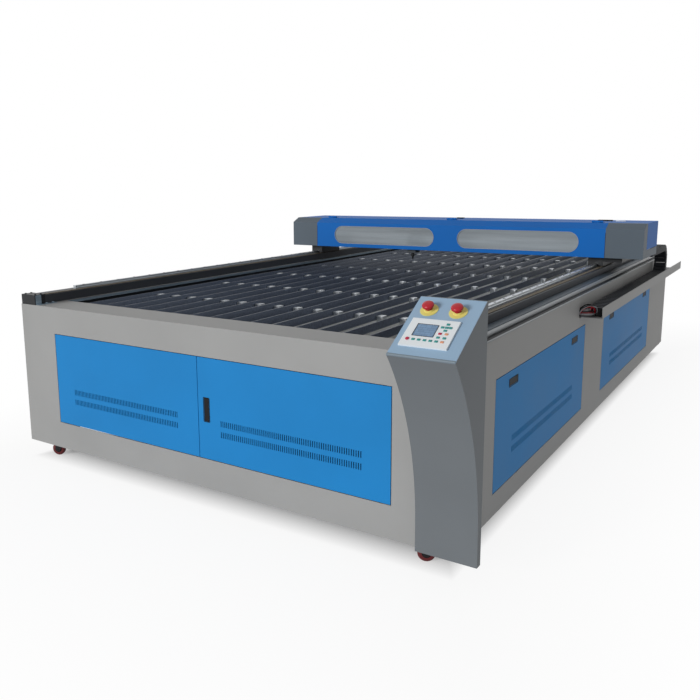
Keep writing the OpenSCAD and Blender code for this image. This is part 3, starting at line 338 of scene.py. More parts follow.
@dataclass(frozen=True)
class MouldedPlastic:
    """Moulded plastic or rubber: a spark-eroded grain and a slightly uneven tone."""

    name: str
    colour: str
    roughness: float = 0.5
    grain_mm: float = 3.0
    spread: float = 0.14
    sheen: float = 0.3
    ior: float = 1.49
    uneven: float = 0.06
    relief: Pair = (0.1, 0.0002)

    def build(self) -> bpy.types.Material:
        """Makes the plastic. The eroded grain of about 0.3 mm is drawn at grain_mm so that it shows.

        Returns:
            The new material.
        """
        made, tree, shader = blank(self.name)
        grain = noise(tree, coordinates(tree), self.grain_mm, 3.0)
        feed(tree, shader, {
            "Base Color": shades(tree, self.colour, self.spread, grain),
            "Roughness": remap(tree, grain, self.roughness - self.uneven, self.roughness + self.uneven),
            "Normal": bump(tree, grain, *self.relief),
            "IOR": self.ior,
            "Specular IOR Level": self.sheen})
        return made


@dataclass(frozen=True)
class ClearSheet:
    """Clear acrylic or glass: see-through with faint hazy wiping marks, which on the windows are drawn out
    into streaks of painted reflection.
    """

    name: str
    colour: str
    alpha: float = 0.25
    haze_and_reflection_mm: float = 160.0
    along: Point = (1.0, 1.0, 1.0)
    contrast: float = 0.6
    gloss: Pair = (0.08, 0.2)
    ior: float = 1.49

    def build(self) -> bpy.types.Material:
        """Makes the sheet, with a hazy pattern, sized in millimetres, in its tone and gloss: wiping marks,
        and on the windows painted reflections.

        Returns:
            The new material.
        """
        made, tree, shader = blank(self.name)
        # On the windows this pattern is drawn out into streaks of painted reflection
        haze_and_reflection = noise(tree, stretched(tree, coordinates(tree), self.along), self.haze_and_reflection_mm, 4.0)
        feed(tree, shader, {
            "Base Color": shades(tree, self.colour, self.contrast, haze_and_reflection),
            "Roughness": remap(tree, haze_and_reflection, *self.gloss),
            "Alpha": self.alpha,
            "IOR": self.ior})
        return made


@dataclass(frozen=True)
class WireSleeves:
    """Bunch of insulated wires, each sleeve in its own colour by its height in the bunch."""

    name: str
    low: float
    high: float
    colours: tuple[str, ...] = ("#1b1c1f", "#a9adb0", "#86292c", "#1d1e21", "#c9cccd")
    roughness: float = 0.45

    def build(self) -> bpy.types.Material:
        """Makes the sleeves: moulded plastic whose tone steps from wire to wire.

        Returns:
            The new material.
        """
        made, tree, shader = blank(self.name)
        height = add(tree, "ShaderNodeSeparateXYZ", None, {"Vector": coordinates(tree)}).outputs["Z"]
        tone = add(tree, "ShaderNodeRGB").outputs[0]
        tone.default_value = linear(self.colours[0])
        for i, colour in enumerate(self.colours[1:], 1):
            level = self.low + (self.high - self.low) * i / len(self.colours)
            above = add(tree, "ShaderNodeMath", {"operation": "GREATER_THAN", 1: level}, {0: height})
            tone = add(tree, "ShaderNodeMix", {"data_type": "RGBA", 7: linear(colour)},
                       {0: above.outputs[0], 6: tone}).outputs[2]
        feed(tree, shader, {"Base Color": tone, "Roughness": self.roughness})
        return made


@dataclass(frozen=True)
class Display:
    """Small liquid crystal display: a pale blue field with a faint block pattern under glass."""

    name: str
    colour: str
    cell_mm: float = 9.0
    gap: float = 0.0006
    roughness: float = 0.22

    def build(self) -> bpy.types.Material:
        """Makes the display with blocks of cell_mm.

        Returns:
            The new material.
        """
        made, tree, shader = blank(self.name)
        cells = add(tree, "ShaderNodeTexBrick",
                    {".Scale": 1.0, ".Brick Width": self.cell_mm * 2 * MM, ".Row Height": self.cell_mm * MM,
                     ".Mortar Size": self.gap, ".Color1": linear(self.colour, 0.9),
                     ".Color2": linear(self.colour, 1.1), ".Mortar": linear(self.colour, 0.7)},
                    {"Vector": coordinates(tree)})
        feed(tree, shader, {"Base Color": cells.outputs["Color"], "Roughness": self.roughness})
        return made


class Palette:
    """All finishes of the machine, made once and kept by name."""

    FOOT_SHARE = 0.35

    def __init__(self) -> None:
        """Builds every finish."""
        wires_low, wires_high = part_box("chain_wires")
        slat_low, slat_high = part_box("bed_slats")
        level = slat_low.z + self.FOOT_SHARE * (slat_high.z - slat_low.z)
        finishes = (
            # Even pale grey sheet with a soft sheen on the cabinet
            PowderCoat("grey_powder_coat", "#9b9b9a"),
            # Darker, cooler grey of the control pod
            PowderCoat("pod_grey_powder_coat", "#6c7175"),
            # Slate grey of the gantry's end caps and the shelf cover
            PowderCoat("slate_powder_coat", "#4e5963"),
            # Clear sky blue of doors and access panels
            PowderCoat("blue_powder_coat", "#1f80c2", sheen=0.12),
            # Deeper blue of the gantry cover and lid
            PowderCoat("gantry_blue_powder_coat", "#0a62b2", sheen=0.1),
            # Dull dark paint on welded steel inside the cabinet
            PowderCoat("frame_paint", "#3d4247", roughness=0.55),
            # Nearly black satin paint on end blocks, trucks and motor
            PowderCoat("black_paint", "#1c1e21", roughness=0.42),
            # Charcoal paint of the rail beams
            PowderCoat("rail_paint", "#383b40", roughness=0.46),
            # Silver blue paint of the sloped panel, with a finer peel
            PowderCoat("panel_metallic_paint", "#97b3cc", roughness=0.4, peel_mm=5.0),
            # Grey-blue paint of the slope's rolled front edge
            PowderCoat("slope_edge_paint", "#77848e", roughness=0.42),
            # Charcoal housings of the drivers and supply
            PowderCoat("module_paint", "#34393f"),
            # Bright ground steel with lines along its length
            DrawnMetal("ground_steel", "#b4b9bd", roughness=0.3),
            # Pale extruded aluminium
            DrawnMetal("mill_aluminium", "#c9cdd0", roughness=0.36),
            # Blue-grey zinc sheet of the bed's edge strips and the left end bracket
            DrawnMetal("zinc_sheet", "#7f8f9b", roughness=0.4),
            # Nearly black zinc plate of the caster forks
            DrawnMetal("black_zinc", "#2b2b2d", roughness=0.45),
            # Yellow turned brass of the nozzle collar
            DrawnMetal("turned_brass", "#c9a24e", roughness=0.28, along=(1.0, 1.0, 0.05)),
            # Dark oxidised slat blades whose streaks are partly painted highlights, on near-white feet that
            # are partly painted light
            SlatExtrusion("oxidised_slat", "#485160", "#f4f4f0", level),
            # Dull grey-brown belt
            MouldedPlastic("belt_rubber", "#4d463c", roughness=0.75, grain_mm=5.0),
            # Pale ribs across the belt
            MouldedPlastic("pale_rib_rubber", "#857c6c", roughness=0.75, grain_mm=5.0),
            # Dark satin chain links
            MouldedPlastic("chain_nylon", "#1f2125", roughness=0.6, sheen=0.15),
            # Black locks, clamps, seals and hubs
            MouldedPlastic("black_nylon", "#17181a", roughness=0.55, sheen=0.12),
            # Mid grey cover strip
            MouldedPlastic("grey_pvc", "#878c8f", roughness=0.42),
            # Off-white controller housing
            MouldedPlastic("light_abs", "#e8edf0", roughness=0.4, spread=0.04),
            # Pale yellow plates under the stops
            MouldedPlastic("yellow_abs", "#e6da7c", roughness=0.4, spread=0.05),
            # Glossy deep red of the stop heads
            MouldedPlastic("red_abs", "#b3202c", roughness=0.25, spread=0.06),
            # Green-blue keys
            MouldedPlastic("teal_silicone", "#3b8f8c"),
            # Crimson keys
            MouldedPlastic("red_silicone", "#b52c4b"),
            # Salmon keys
            MouldedPlastic("orange_silicone", "#dd9a78"),
            # Black open foam behind the vents, without any gloss: a dark sheet of painted shade that keeps
            # the vents dark
            MouldedPlastic("vent_shade_foam", "#0e0f11", roughness=0.95, grain_mm=4.0, sheen=0.03),
            # Dark red wheel treads
            MouldedPlastic("tread_polyurethane", "#5f1d20", roughness=0.42),
            # Hazy clear windows, with streaks along them that are painted reflections
            ClearSheet("window_acrylic", "#9aa3a9", alpha=0.6, haze_and_reflection_mm=60.0, along=(0.05, 1.0, 1.0)),
            # Clear glass of the laser tube
            ClearSheet("tube_glass", "#cfdade", alpha=0.55),
            # Wires in plain colours
            WireSleeves("wire_sleeves", wires_low.z, wires_high.z),
            # Pale blue display
            Display("display_panel", "#6f90b2"),
        )
        self.made = {f.name: f.build() for f in finishes}

    def __getitem__(self, name: str) -> bpy.types.Material:
        """Gives a finish by name."""
        return self.made[name]


NODE_FINISH: dict[str, tuple[str, ...]] = {
    "grey_powder_coat": ("front_panel", "left_panel", "right_panel", "rear_panel", "chain_tray"),
    "pod_grey_powder_coat": ("pod_shell",),
    "slate_powder_coat": ("gantry_end_caps",),
    "blue_powder_coat": ("left_door", "right_door", "front_access_panel", "rear_access_panel"),
    "gantry_blue_powder_coat": ("gantry_cover", "gantry_lid"),
    "frame_paint": ("base_frame", "dust_tray", "shaft_bearings", "head_carriage", "equipment_plate"),
    "rail_paint": ("rail_beams",),
    "black_paint": ("belt_end_blocks", "drive_motor", "gantry_trucks", "head_drive", "lens_tube"),
    "panel_metallic_paint": ("control_panel",),
    "module_paint": ("control_modules",),
    "ground_steel": ("guide_rails", "drive_shaft", "head_guide"),
    "black_zinc": ("front_left_fork", "front_right_fork", "rear_left_fork", "rear_right_fork"),
    "mill_aluminium": ("exhaust_spigots", "bed_crossbars", "gantry_beam", "slat_clips"),
    "zinc_sheet": ("bed_edge_strips",),
    "oxidised_slat": ("bed_slats",),
    "belt_rubber": ("drive_belts", "head_belt"),
    "chain_nylon": ("cable_chain",),
    "black_nylon": ("door_lock", "front_lock_1", "front_lock_2", "rear_lock_1", "rear_lock_2", "tube_clamps"),
    "light_abs": ("controller",),
    "yellow_abs": ("stop_plates",),
    "red_abs": ("left_stop_button", "right_stop_button"),
    "tread_polyurethane": ("front_left_wheel", "front_right_wheel", "rear_left_wheel", "rear_right_wheel"),
    "window_acrylic": ("gantry_windows",),
    "tube_glass": ("laser_tube",),
    "wire_sleeves": ("chain_wires",),
    "display_panel": ("controller_screen",),
}


class Shape:
    """One piece while its mesh is made with bmesh operators."""

    SMOOTH_BELOW = math.radians(40)
    MERGE = 1e-6

    def __init__(self, name: str, place: Matrix | None = None) -> None:
        """Starts an empty mesh.

        Args:
            name: Name of the piece.
            place: Matrix from the piece's own frame to the row frame.
        """
        self.name = name
        self.place = place or Matrix.Identity(4)
        self.mesh = bmesh.new()

    def block(self, low: Point, high: Point, soften: float = 0.0, segments: int = 1) -> None:
        """Adds a box with bevelled edges.

        Args:
            low: Lowest corner in metres.
            high: Highest corner in metres.
            soften: Width of the bevel in metres.
            segments: Steps of the bevel.
        """
        size = Vector(high) - Vector(low)
        middle = (Vector(high) + Vector(low)) / 2
        verts = bmesh.ops.create_cube(self.mesh, size=1.0)["verts"]
        bmesh.ops.scale(self.mesh, vec=size, verts=verts)
        bmesh.ops.translate(self.mesh, vec=middle, verts=verts)
        self.soften(verts, soften, segments)

    def soften(self, verts: Iterable[bmesh.types.BMVert], width: float, segments: int = 1) -> None:
        """Bevels the edges between some vertices.

        Args:
            verts: Vertices of one closed part.
            width: Width of the bevel in metres.
            segments: Steps of the bevel.
        """
        if width <= 0:
            return
        edges = list({e for v in verts for e in v.link_edges})
        bmesh.ops.bevel(self.mesh, geom=edges, offset=width, offset_type="OFFSET", segments=segments,
                        profile=0.5, affect="EDGES", material=-1)

    def disc(self, centre: Point, axis: Point, radius: float, depth: float, sides: int = 20,
             tip: float | None = None, soften: float = 0.0) -> None:
        """Adds a round disc or cone that starts at a point and runs along an axis.

        Args:
            centre: Middle of the starting face in metres.
            axis: Direction of the disc.
            radius: Radius of the starting face.
            depth: Length along the axis.
            sides: Number of sides.
            tip: Radius of the far face, the same as radius when left out.
            soften: Width of the bevel in metres.
        """
        made = bmesh.ops.create_cone(self.mesh, cap_ends=True, segments=sides, radius1=radius,
                                     radius2=radius if tip is None else tip, depth=depth)["verts"]
        turn = Vector(UP).rotation_difference(Vector(axis)).to_matrix()
        bmesh.ops.rotate(self.mesh, cent=(0, 0, 0), matrix=turn, verts=made)
        bmesh.ops.translate(self.mesh, vec=Vector(centre) + Vector(axis).normalized() * depth / 2, verts=made)
        self.soften(made, soften)

    def spun(self, profile: Sequence[Pair], centre: Point, axis: Point, steps: int = 40) -> None:
        """Adds a turned shape.

        Args:
            profile: Radius and height of each point along the section.
            centre: Origin of the section in metres.
            axis: Axis of the turn, along which the heights run.
            steps: Number of steps round the axis.
        """
        up = Vector(axis).normalized()
        side = up.orthogonal().normalized()
        verts = [self.mesh.verts.new(Vector(centre) + side * r + up * h) for r, h in profile]
        edges = [self.mesh.edges.new(pair) for pair in zip(verts, verts[1:])]
        bmesh.ops.spin(self.mesh, geom=verts + edges, cent=Vector(centre), axis=up, dvec=(0, 0, 0),
                       angle=math.tau, steps=steps, use_merge=True)
        bmesh.ops.remove_doubles(self.mesh, verts=self.mesh.verts, dist=self.MERGE)

    def frame(self, low: Pair, high: Pair, width: float, depth: float, corner: float,
              segments: int = 4) -> None:
        """Adds a flat rounded frame round a hole, in X and Y from z = 0 up.

        Args:
            low: Lower left corner of the hole.
            high: Upper right corner of the hole.
            width: Width of the frame's band.
            depth: Thickness of the frame.
            corner: Width of the bevel on the outer corners.
            segments: Steps of the bevel.
        """
        made = bmesh.ops.create_grid(self.mesh, x_segments=1, y_segments=1, size=0.5)["verts"]
        size = (high[0] - low[0] + 2 * width, high[1] - low[1] + 2 * width, 1.0)
        bmesh.ops.scale(self.mesh, vec=size, verts=made)
        bmesh.ops.translate(self.mesh, vec=((low[0] + high[0]) / 2, (low[1] + high[1]) / 2, 0), verts=made)
        old = set(self.mesh.faces) - {f for v in made for f in v.link_faces}
        bmesh.ops.bevel(self.mesh, geom=list(made), offset=corner, offset_type="OFFSET", segments=segments,
                        profile=0.5, affect="VERTICES", material=-1)
        face = next(f for f in self.mesh.faces if f not in old)
        face.normal_update()
        inner = bmesh.ops.inset_individual(self.mesh, faces=[face], thickness=width, depth=0.0,
                                           use_even_offset=True)
        bmesh.ops.delete(self.mesh, geom=[face], context="FACES_ONLY")
        ring = list(inner["faces"])
        walls = bmesh.ops.extrude_face_region(self.mesh, geom=ring)["geom"]
        raised = [v for v in walls if isinstance(v, bmesh.types.BMVert)]
        bmesh.ops.translate(self.mesh, vec=(0, 0, depth), verts=raised)

    def finish(self, finish: bpy.types.Material, slot: str, body: Body | None, smooth: bool = False,
               stands_for: Sequence[str] = ()) -> bpy.types.Object:
        """Turns the mesh into an object of the scene.

        Args:
            finish: Material of the piece.
            slot: Material slot of the record; not used.
            body: Body that the piece rides on, or None to leave the piece on no body.
            smooth: Whether faces are shaded smooth up to an angle.
            stands_for: Nodes that the piece replaces.

        Returns:
            The new object.
        """
        bmesh.ops.transform(self.mesh, matrix=self.place, verts=self.mesh.verts)
        bmesh.ops.recalc_face_normals(self.mesh, faces=self.mesh.faces)
        if smooth:
            for face in self.mesh.faces:
                face.smooth = True
            for edge in self.mesh.edges:
                edge.smooth = edge.is_manifold and edge.calc_face_angle(0.0) < self.SMOOTH_BELOW
        data = bpy.data.meshes.new(self.name)
        self.mesh.to_mesh(data)
        self.mesh.free()
        data.materials.append(finish)
        made = bpy.data.objects.new(self.name, data)
        bpy.context.scene.collection.objects.link(made)
        if body is not None:
            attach(made, body.value)
        if stands_for:
            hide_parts(*stands_for)
        LOG.info("piece %s: %d faces", self.name, len(data.polygons))
        return made


@dataclass
class Dresser:
    """Gives each carried-over solid its finish."""

    nodes: dict[str, bpy.types.Object]
    palette: Palette

    def dress(self) -> None:
        """Sets the finish of every solid."""
        for finish, names in NODE_FINISH.items():
            for name in names:
                for slot in self.nodes[name].material_slots:
                    slot.material = self.palette[finish]


@dataclass
class ControlPod:
    """Keys, emergency stops and trim on the pod's sloped panel. The machine's front face lies at front_y."""

    palette: Palette
    front_y: float
    left: float = 1.017
    width: float = 0.227
    front: float = -0.258
    front_z: float = 0.840
    reach: float = 0.246
    rise: float = 0.148
    face: float = 0.006
    key_half: Pair = (0.0055, 0.0042)
    key_rise: float = 0.0022
    key_soft: float = 0.001
    cross_keys: tuple[Pair, ...] = ((0.1485, 0.1546), (0.1350, 0.1392), (0.1485, 0.1395), (0.1610, 0.1398),
                                    (0.1490, 0.1254))
    pair_keys: tuple[Pair, ...] = ((0.1380, 0.0916), (0.1590, 0.0912))
    row_keys: tuple[Pair, ...] = tuple((0.0623 + i * 0.0192, 0.0735) for i in range(6))
    red_key: Pair = (0.1380, 0.1095)
    orange_key: Pair = (0.1588, 0.1100)
    round_key: Pair = (0.0425, 0.0735)
    round_radius: float = 0.0065
    round_rise: float = 0.003
    screen: tuple[Pair, Pair] = ((0.051, 0.0920), (0.120, 0.1460))
    screen_shade_line: Point = (0.0018, 0.0008, 0.002)
    bead: float = 0.005
    bead_in: float = 0.0005
    bead_drop: Pair = (0.8, -0.55)
    stop_y: float = 0.222
    stop_xs: Pair = (0.056, 0.155)
    stop_head: tuple[Pair, ...] = (
        (0.0, 0.0292), (0.008, 0.0290), (0.014, 0.0280), (0.018, 0.0258), (0.0198, 0.0226),
        (0.0198, 0.0186), (0.0180, 0.0160), (0.0108, 0.0142), (0.0108, -0.0195), (0.0, -0.0195))
    stop_collar: tuple[Pair, ...] = (
        (0.0116, 0.0021), (0.0170, 0.0021), (0.0165, 0.0052), (0.0150, 0.0064), (0.0116, 0.0064),
        (0.0116, 0.0021))

    def on_slope(self) -> Matrix:
        """Matrix from the slope's own frame to the row frame."""
        tilt = Matrix.Rotation(math.atan2(self.rise, self.reach), 4, "X")
        return Matrix.Translation((self.left, self.front_y + self.front, self.front_z)) @ tilt

    def keys(self) -> None:
        """Adds the controller's keys, grouped by colour."""
        groups = {"teal_silicone": self.cross_keys + self.pair_keys + self.row_keys[:-1],
                  "red_silicone": (self.red_key,),
                  "orange_silicone": (self.orange_key, self.row_keys[-1])}
        wide, tall = self.key_half
        for finish, spots in groups.items():
            shape = Shape("keys_" + finish.split("_")[0], self.on_slope())
            for x, y in spots:
                shape.block((x - wide, y - tall, self.face - SINK),
                            (x + wide, y + tall, self.face + self.key_rise), self.key_soft, 2)
            shape.finish(self.palette[finish], "white_plastic", Body.MACHINE, smooth=True)
        stop_key = Shape("round_stop_key", self.on_slope())
        stop_key.disc((*self.round_key, self.face - SINK), UP, self.round_radius, self.round_rise, 24,
                      soften=FINE)
        stop_key.finish(self.palette["red_silicone"], "red_plastic", Body.MACHINE, smooth=True)

    def trim(self) -> None:
        """Adds the dark line round the display, which is painted shade of the display's recess, and the
        rolled bead at the slope's front edge.
        """
        lift = Matrix.Translation((0, 0, self.face))
        # Black line round the display: painted shade of its recess
        recess_shade_line = Shape("display_frame", self.on_slope() @ lift)
        recess_shade_line.frame(*self.screen, *self.screen_shade_line)
        recess_shade_line.finish(self.palette["black_nylon"], "black_plastic", Body.MACHINE)
        edge = Shape("slope_bead", self.on_slope())
        back, down = (self.bead * share for share in self.bead_drop)
        edge.disc((self.bead_in, back, down), (1, 0, 0), self.bead, self.width - 2 * self.bead_in, 20)
        edge.finish(self.palette["slope_edge_paint"], "panel_paint", Body.MACHINE, smooth=True)

    def stops(self) -> None:
        """Adds the emergency stops' mushroom heads and their collars."""
        for body, x in zip((Body.LEFT_STOP, Body.RIGHT_STOP), self.stop_xs):
            mushroom = Shape(body.value + "_head", self.on_slope())
            mushroom.spun(self.stop_head, (x, self.stop_y, 0), UP, 48)
            mushroom.finish(self.palette["red_abs"], "red_plastic", body, smooth=True,
                            stands_for=(body.value,))
        collars = Shape("stop_collars", self.on_slope())
        for x in self.stop_xs:
            collars.spun(self.stop_collar, (x, self.stop_y, 0), UP, 40)
        collars.finish(self.palette["yellow_abs"], "yellow_plastic", Body.MACHINE, smooth=True)

    def build(self) -> None:
        """Builds the pod's small pieces."""
        self.keys()
        self.trim()
        self.stops()


@dataclass
class Locks:
    """Bezels round the lock paddles."""

    palette: Palette
    band: float = 0.0018
    proud: float = 0.0012
    gap: float = 0.0012
    inset: float = 0.0025
    corner: float = 0.004
    spots: dict[str, Body] = field(default_factory=lambda: {
        "door_lock": Body.RIGHT_DOOR,
        "front_lock_1": Body.FRONT_PANEL,
        "front_lock_2": Body.FRONT_PANEL,
        "rear_lock_1": Body.REAR_PANEL,
        "rear_lock_2": Body.REAR_PANEL})

    def build(self) -> None:
        """Adds a bezel round each lock, flat against the door or panel that holds it."""
        sideways = Matrix(((0, 0, 1, 0), (1, 0, 0, 0), (0, 1, 0, 0), (0, 0, 0, 1)))
        trim = self.inset - 2 * self.gap
        for node, body in self.spots.items():
            low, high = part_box(node)
            if body is Body.RIGHT_DOOR:
                hole = ((low.x + trim, low.z - self.gap), (high.x - trim, high.z + self.gap))
                place = Matrix.Translation((0, low.y, 0)) @ Matrix.Rotation(math.radians(90), 4, "X")
            else:
                hole = ((low.y - self.gap, low.z + trim), (high.y + self.gap, high.z - trim))
                place = Matrix.Translation((high.x, 0, 0)) @ sideways
            shape = Shape(node + "_bezel", place)
            shape.frame(*hole, self.band, self.proud, self.corner)
            shape.finish(self.palette["black_nylon"], "black_plastic", body)


@dataclass
class CableChain:
    """Links of the cable chain: a run in the tray, a bend and a run to the gantry."""

    palette: Palette
    front_y: float
    link: float = 0.050
    width: float = 0.075
    height: float = 0.045
    radius: float = 0.092
    wall: float = 0.006
    wall_soft: float = 0.0025
    bar: float = 0.005
    bar_share: float = 0.62
    bar_in: float = 0.0005
    bar_soft: float = 0.001
    gap: float = 0.0015
    overlap: float = 0.004
    front: float = 1.620
    run: int = 37
    bend: int = 7
    upper: int = 10
    gantry_end: float = 2.9805
    far: float = 1000.0

    def add_link(self, shape: Shape, place: Matrix, length: float) -> None:
        """Adds one link with two side plates and two cross bars.

        Args:
            shape: Piece that takes the link.
            place: Matrix from the link's middle to the piece's frame.
            length: Length of the link along Y.
        """
        start = set(shape.mesh.verts)
        half, up = length / 2, self.height / 2
        for x in (0.0, self.width - self.wall):
            shape.block((x, -half, -up), (x + self.wall, half, up), self.wall_soft)
        reach = half * self.bar_share
        for z in (-up + self.bar_in, up - self.bar_in - self.bar):
            shape.block((self.wall, -reach, z), (self.width - self.wall, reach, z + self.bar), self.bar_soft)
        new = [v for v in shape.mesh.verts if v not in start]
        bmesh.ops.transform(shape.mesh, matrix=place, verts=new)

    def build(self) -> None:
        """Builds the three stretches; the upper run stretches from the gantry's end to meet the bend."""
        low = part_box("cable_chain")[0]
        x, z = low.x, low.z + self.height / 2
        y0 = self.front_y + self.front
        y1 = y0 + self.run * self.link
        top = z + 2 * self.radius
        lower = Shape("chain_lower_run")
        for i in range(self.run):
            self.add_link(lower, Matrix.Translation((x, y0 + (i + 0.5) * self.link, z)), self.link - self.gap)
        bend = Shape("chain_bend")
        hub = Matrix.Translation((x, y1, z + self.radius))
        for i in range(self.bend):
            turn = Matrix.Rotation(math.radians((i + 0.5) * 180 / self.bend), 4, "X")
            self.add_link(bend, hub @ turn @ Matrix.Translation((0, 0, -self.radius)),
                          math.pi * self.radius / self.bend + self.overlap)
        upper = Shape("chain_upper_run")
        end = self.front_y + self.gantry_end
        step = (y1 - end) / self.upper
        for i in range(self.upper):
            self.add_link(upper, Matrix.Translation((x, end + (i + 0.5) * step, top)), step - self.gap)
        lower_run, turn_run, upper_run = (
            shape.finish(self.palette["chain_nylon"], "chain_plastic", None, stands_for=("cable_chain",))
            for shape in (lower, bend, upper))
        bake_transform(lower_run)
        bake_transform(turn_run)
        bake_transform(upper_run)


@dataclass
class WireBunch:
    """Loose wires that loop up from the chain's front end into the hole in the cabinet wall.

    Each wire has its reach from the wall, its rise above the bunch's middle and its lean in degrees.
    """

    palette: Palette
    front_y: float
    radius: float = 0.0032
    sides: int = 8
    steps: int = 18
    chain_front: float = 1.620
    wall: float = 1.146
    wires: dict[str, tuple[Point, ...]] = field(default_factory=lambda: {
        "black_nylon": ((0.028, 0.004, 48.0), (0.046, 0.014, 62.0), (0.064, 0.006, 52.0)),
        "grey_pvc": ((0.034, -0.004, 58.0), (0.052, 0.010, 50.0), (0.068, -0.002, 60.0)),
        "red_abs": ((0.040, 0.010, 54.0), (0.058, -0.004, 64.0))})

    def add_wire(self, shape: Shape, first: Vector, last: Vector, lean: float) -> None:
        """Adds one wire as a half turn between two points.

        Args:
            shape: Piece that takes the wire.
            first: End at the chain.
            last: End at the wall.
            lean: Angle in degrees by which the loop leans up.
        """
        along = (last - first).normalized()
        out = Vector((1, -1, 0)).normalized()
        bulge = out * math.cos(math.radians(lean)) + Vector(UP) * math.sin(math.radians(lean))
        turn = Vector(UP).rotation_difference(bulge).to_matrix().to_4x4()
        ring = bmesh.ops.create_circle(shape.mesh, radius=self.radius, segments=self.sides,
                                       matrix=Matrix.Translation(first) @ turn)["verts"]
        edges = list({e for v in ring for e in v.link_edges})
        bmesh.ops.spin(shape.mesh, geom=ring + edges, cent=(first + last) / 2, axis=bulge.cross(along),
                       dvec=(0, 0, 0), angle=math.pi, steps=self.steps)

    def build(self) -> None:
        """Builds the wires, grouped by the colour of their sleeves."""
        low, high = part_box("chain_wires")
        level = (low.z + high.z) / 2
        y = self.front_y + self.chain_front
        for finish, wires in self.wires.items():
            shape = Shape("loose_wires_" + finish.split("_")[0])
            for reach, rise, lean in wires:
                first = Vector((self.wall + reach, y, level + rise))
                self.add_wire(shape, first, Vector((self.wall, y - reach, level + rise)), lean)
            open_edges = [e for e in shape.mesh.edges if e.is_boundary]
            bmesh.ops.holes_fill(shape.mesh, edges=open_edges, sides=self.sides)
            shape.finish(self.palette[finish], "wire_sleeve", Body.MACHINE, smooth=True)


@dataclass
class RailHardware:
    """Screws, belt ribs, the left end bracket and the strips on the right shelf.

    Each strip has its name, finish, slot, edges along X, height and bevel.
    """

    palette: Palette
    front_y: float
    screw_pitch: float = 0.120
    screw_in: float = 0.010
    screw: Pair = (0.0055, 0.0012)
    beam: float = 0.102
    right_block: float = 0.070
    head_in: float = 0.014
    head: Pair = (0.005, 0.004)
    belt: float = 0.025
    belt_back: float = 0.03
    rib_pitch: float = 0.020
    rib_start: float = 0.3
    rib: float = 0.009
    rib_in: float = 0.0005
    rib_rise: float = 0.0003
    plate: float = 0.002
    plate_soft: float = 0.0005
    plate_y: Point = (0.004, 0.036, 0.112)
    plate_foot: float = 0.026
    bolt_y: Pair = (0.056, 0.094)
    bolt: Pair = (0.0065, 0.005)
    shelf_front: float = 0.184
    shelf_back: float = 4.040
    shelf_sink: float = 0.0003
    strips: tuple[tuple[str, str, str, float, float, float, float], ...] = (
        ("shelf_cover", "slate_powder_coat", "steel", 1.027, 1.073, 0.0065, 0.001),
        # The two black strips beside the duct fill its gaps with painted shade
        ("shelf_gap_seal", "black_nylon", "black_plastic", 1.0732, 1.0848, 0.0012, 0.0),
        ("shelf_duct", "grey_pvc", "black_plastic", 1.085, 1.112, 0.013, 0.006),
        ("shelf_outer_seal", "black_nylon", "black_plastic", 1.1122, 1.1368, 0.0015, 0.0),
        ("shelf_edge_strip", "grey_pvc", "aluminium", 1.137, 1.1465, 0.0035, 0.0008))

    def screws(self) -> None:
        """Adds counterbored screws along both guides and socket screws on the end blocks."""
        low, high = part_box("guide_rails")
        shape = Shape("guide_screws")
        count = int((high.y - low.y) / self.screw_pitch)
        for x in (low.x + self.screw_in, high.x - self.screw_in):
            for i in range(count):
                shape.disc((x, low.y + (i + 0.5) * self.screw_pitch, high.z - SINK), UP, *self.screw, 12)
        shape.finish(self.palette["black_paint"], "black_paint", Body.MACHINE)
        low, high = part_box("belt_end_blocks")
        heads = Shape("end_block_screws")
        for x0, x1 in ((low.x, low.x + self.beam), (high.x - self.right_block, high.x)):
            for x in (x0 + self.head_in, x1 - self.head_in):
                for y in (low.y + self.head_in, high.y - self.head_in):
                    heads.disc((x, y, high.z - SINK), UP, *self.head, 14, soften=FINE)
        heads.finish(self.palette["black_paint"], "black_paint", Body.MACHINE)

    def ribs(self) -> None:
        """Adds pale ribs across the upper run of both belts."""
        low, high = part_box("drive_belts")
        shape = Shape("belt_ribs")
        count = int((high.y - self.belt_back - low.y) / self.rib_pitch)
        for x in (low.x, high.x - self.belt):
            for i in range(count):
                y = low.y + (i + self.rib_start) * self.rib_pitch
                shape.block((x + self.rib_in, y, high.z - SINK),
                            (x + self.belt - self.rib_in, y + self.rib, high.z + self.rib_rise))
        shape.finish(self.palette["pale_rib_rubber"], "belt_rubber", Body.MACHINE)

    def bracket(self) -> None:
        """Adds the bright plate beside the left end block, with its bolts on the lip."""
        low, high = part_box("belt_end_blocks")
        x = low.x + self.beam
        start, wall_end, foot_end = (low.y + y for y in self.plate_y)
        plate = Shape("left_end_bracket")
        plate.block((x - SINK, start, low.z),
                    (x + self.plate, wall_end, high.z - self.plate), self.plate_soft)
        plate.block((x, start, low.z - SINK),
                    (x + self.plate_foot, foot_end, low.z + self.plate), self.plate_soft)
        for y in self.bolt_y:
            plate.disc((x + self.plate_foot / 2, low.y + y, low.z + self.plate - SINK), UP, *self.bolt, 16,
                       soften=0.001)
        plate.finish(self.palette["zinc_sheet"], "aluminium", Body.MACHINE)

    def shelf(self) -> None:
        """Adds the cover, duct and edge strip that run along the right shelf, with black strips of painted
        shade in the gaps beside the duct.
        """
        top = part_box("right_panel")[1].z
        y0, y1 = self.front_y + self.shelf_front, self.front_y + self.shelf_back
        for name, finish, slot, x0, x1, height, soften in self.strips:
            strip = Shape(name)
            strip.block((x0, y0, top - self.shelf_sink), (x1, y1, top + height), soften, 3)
            strip.finish(self.palette[finish], slot, Body.MACHINE, smooth=True)

    def build(self) -> None:
        """Builds the rails' small pieces."""
        self.screws()
        self.ribs()
        self.bracket()
        self.shelf()


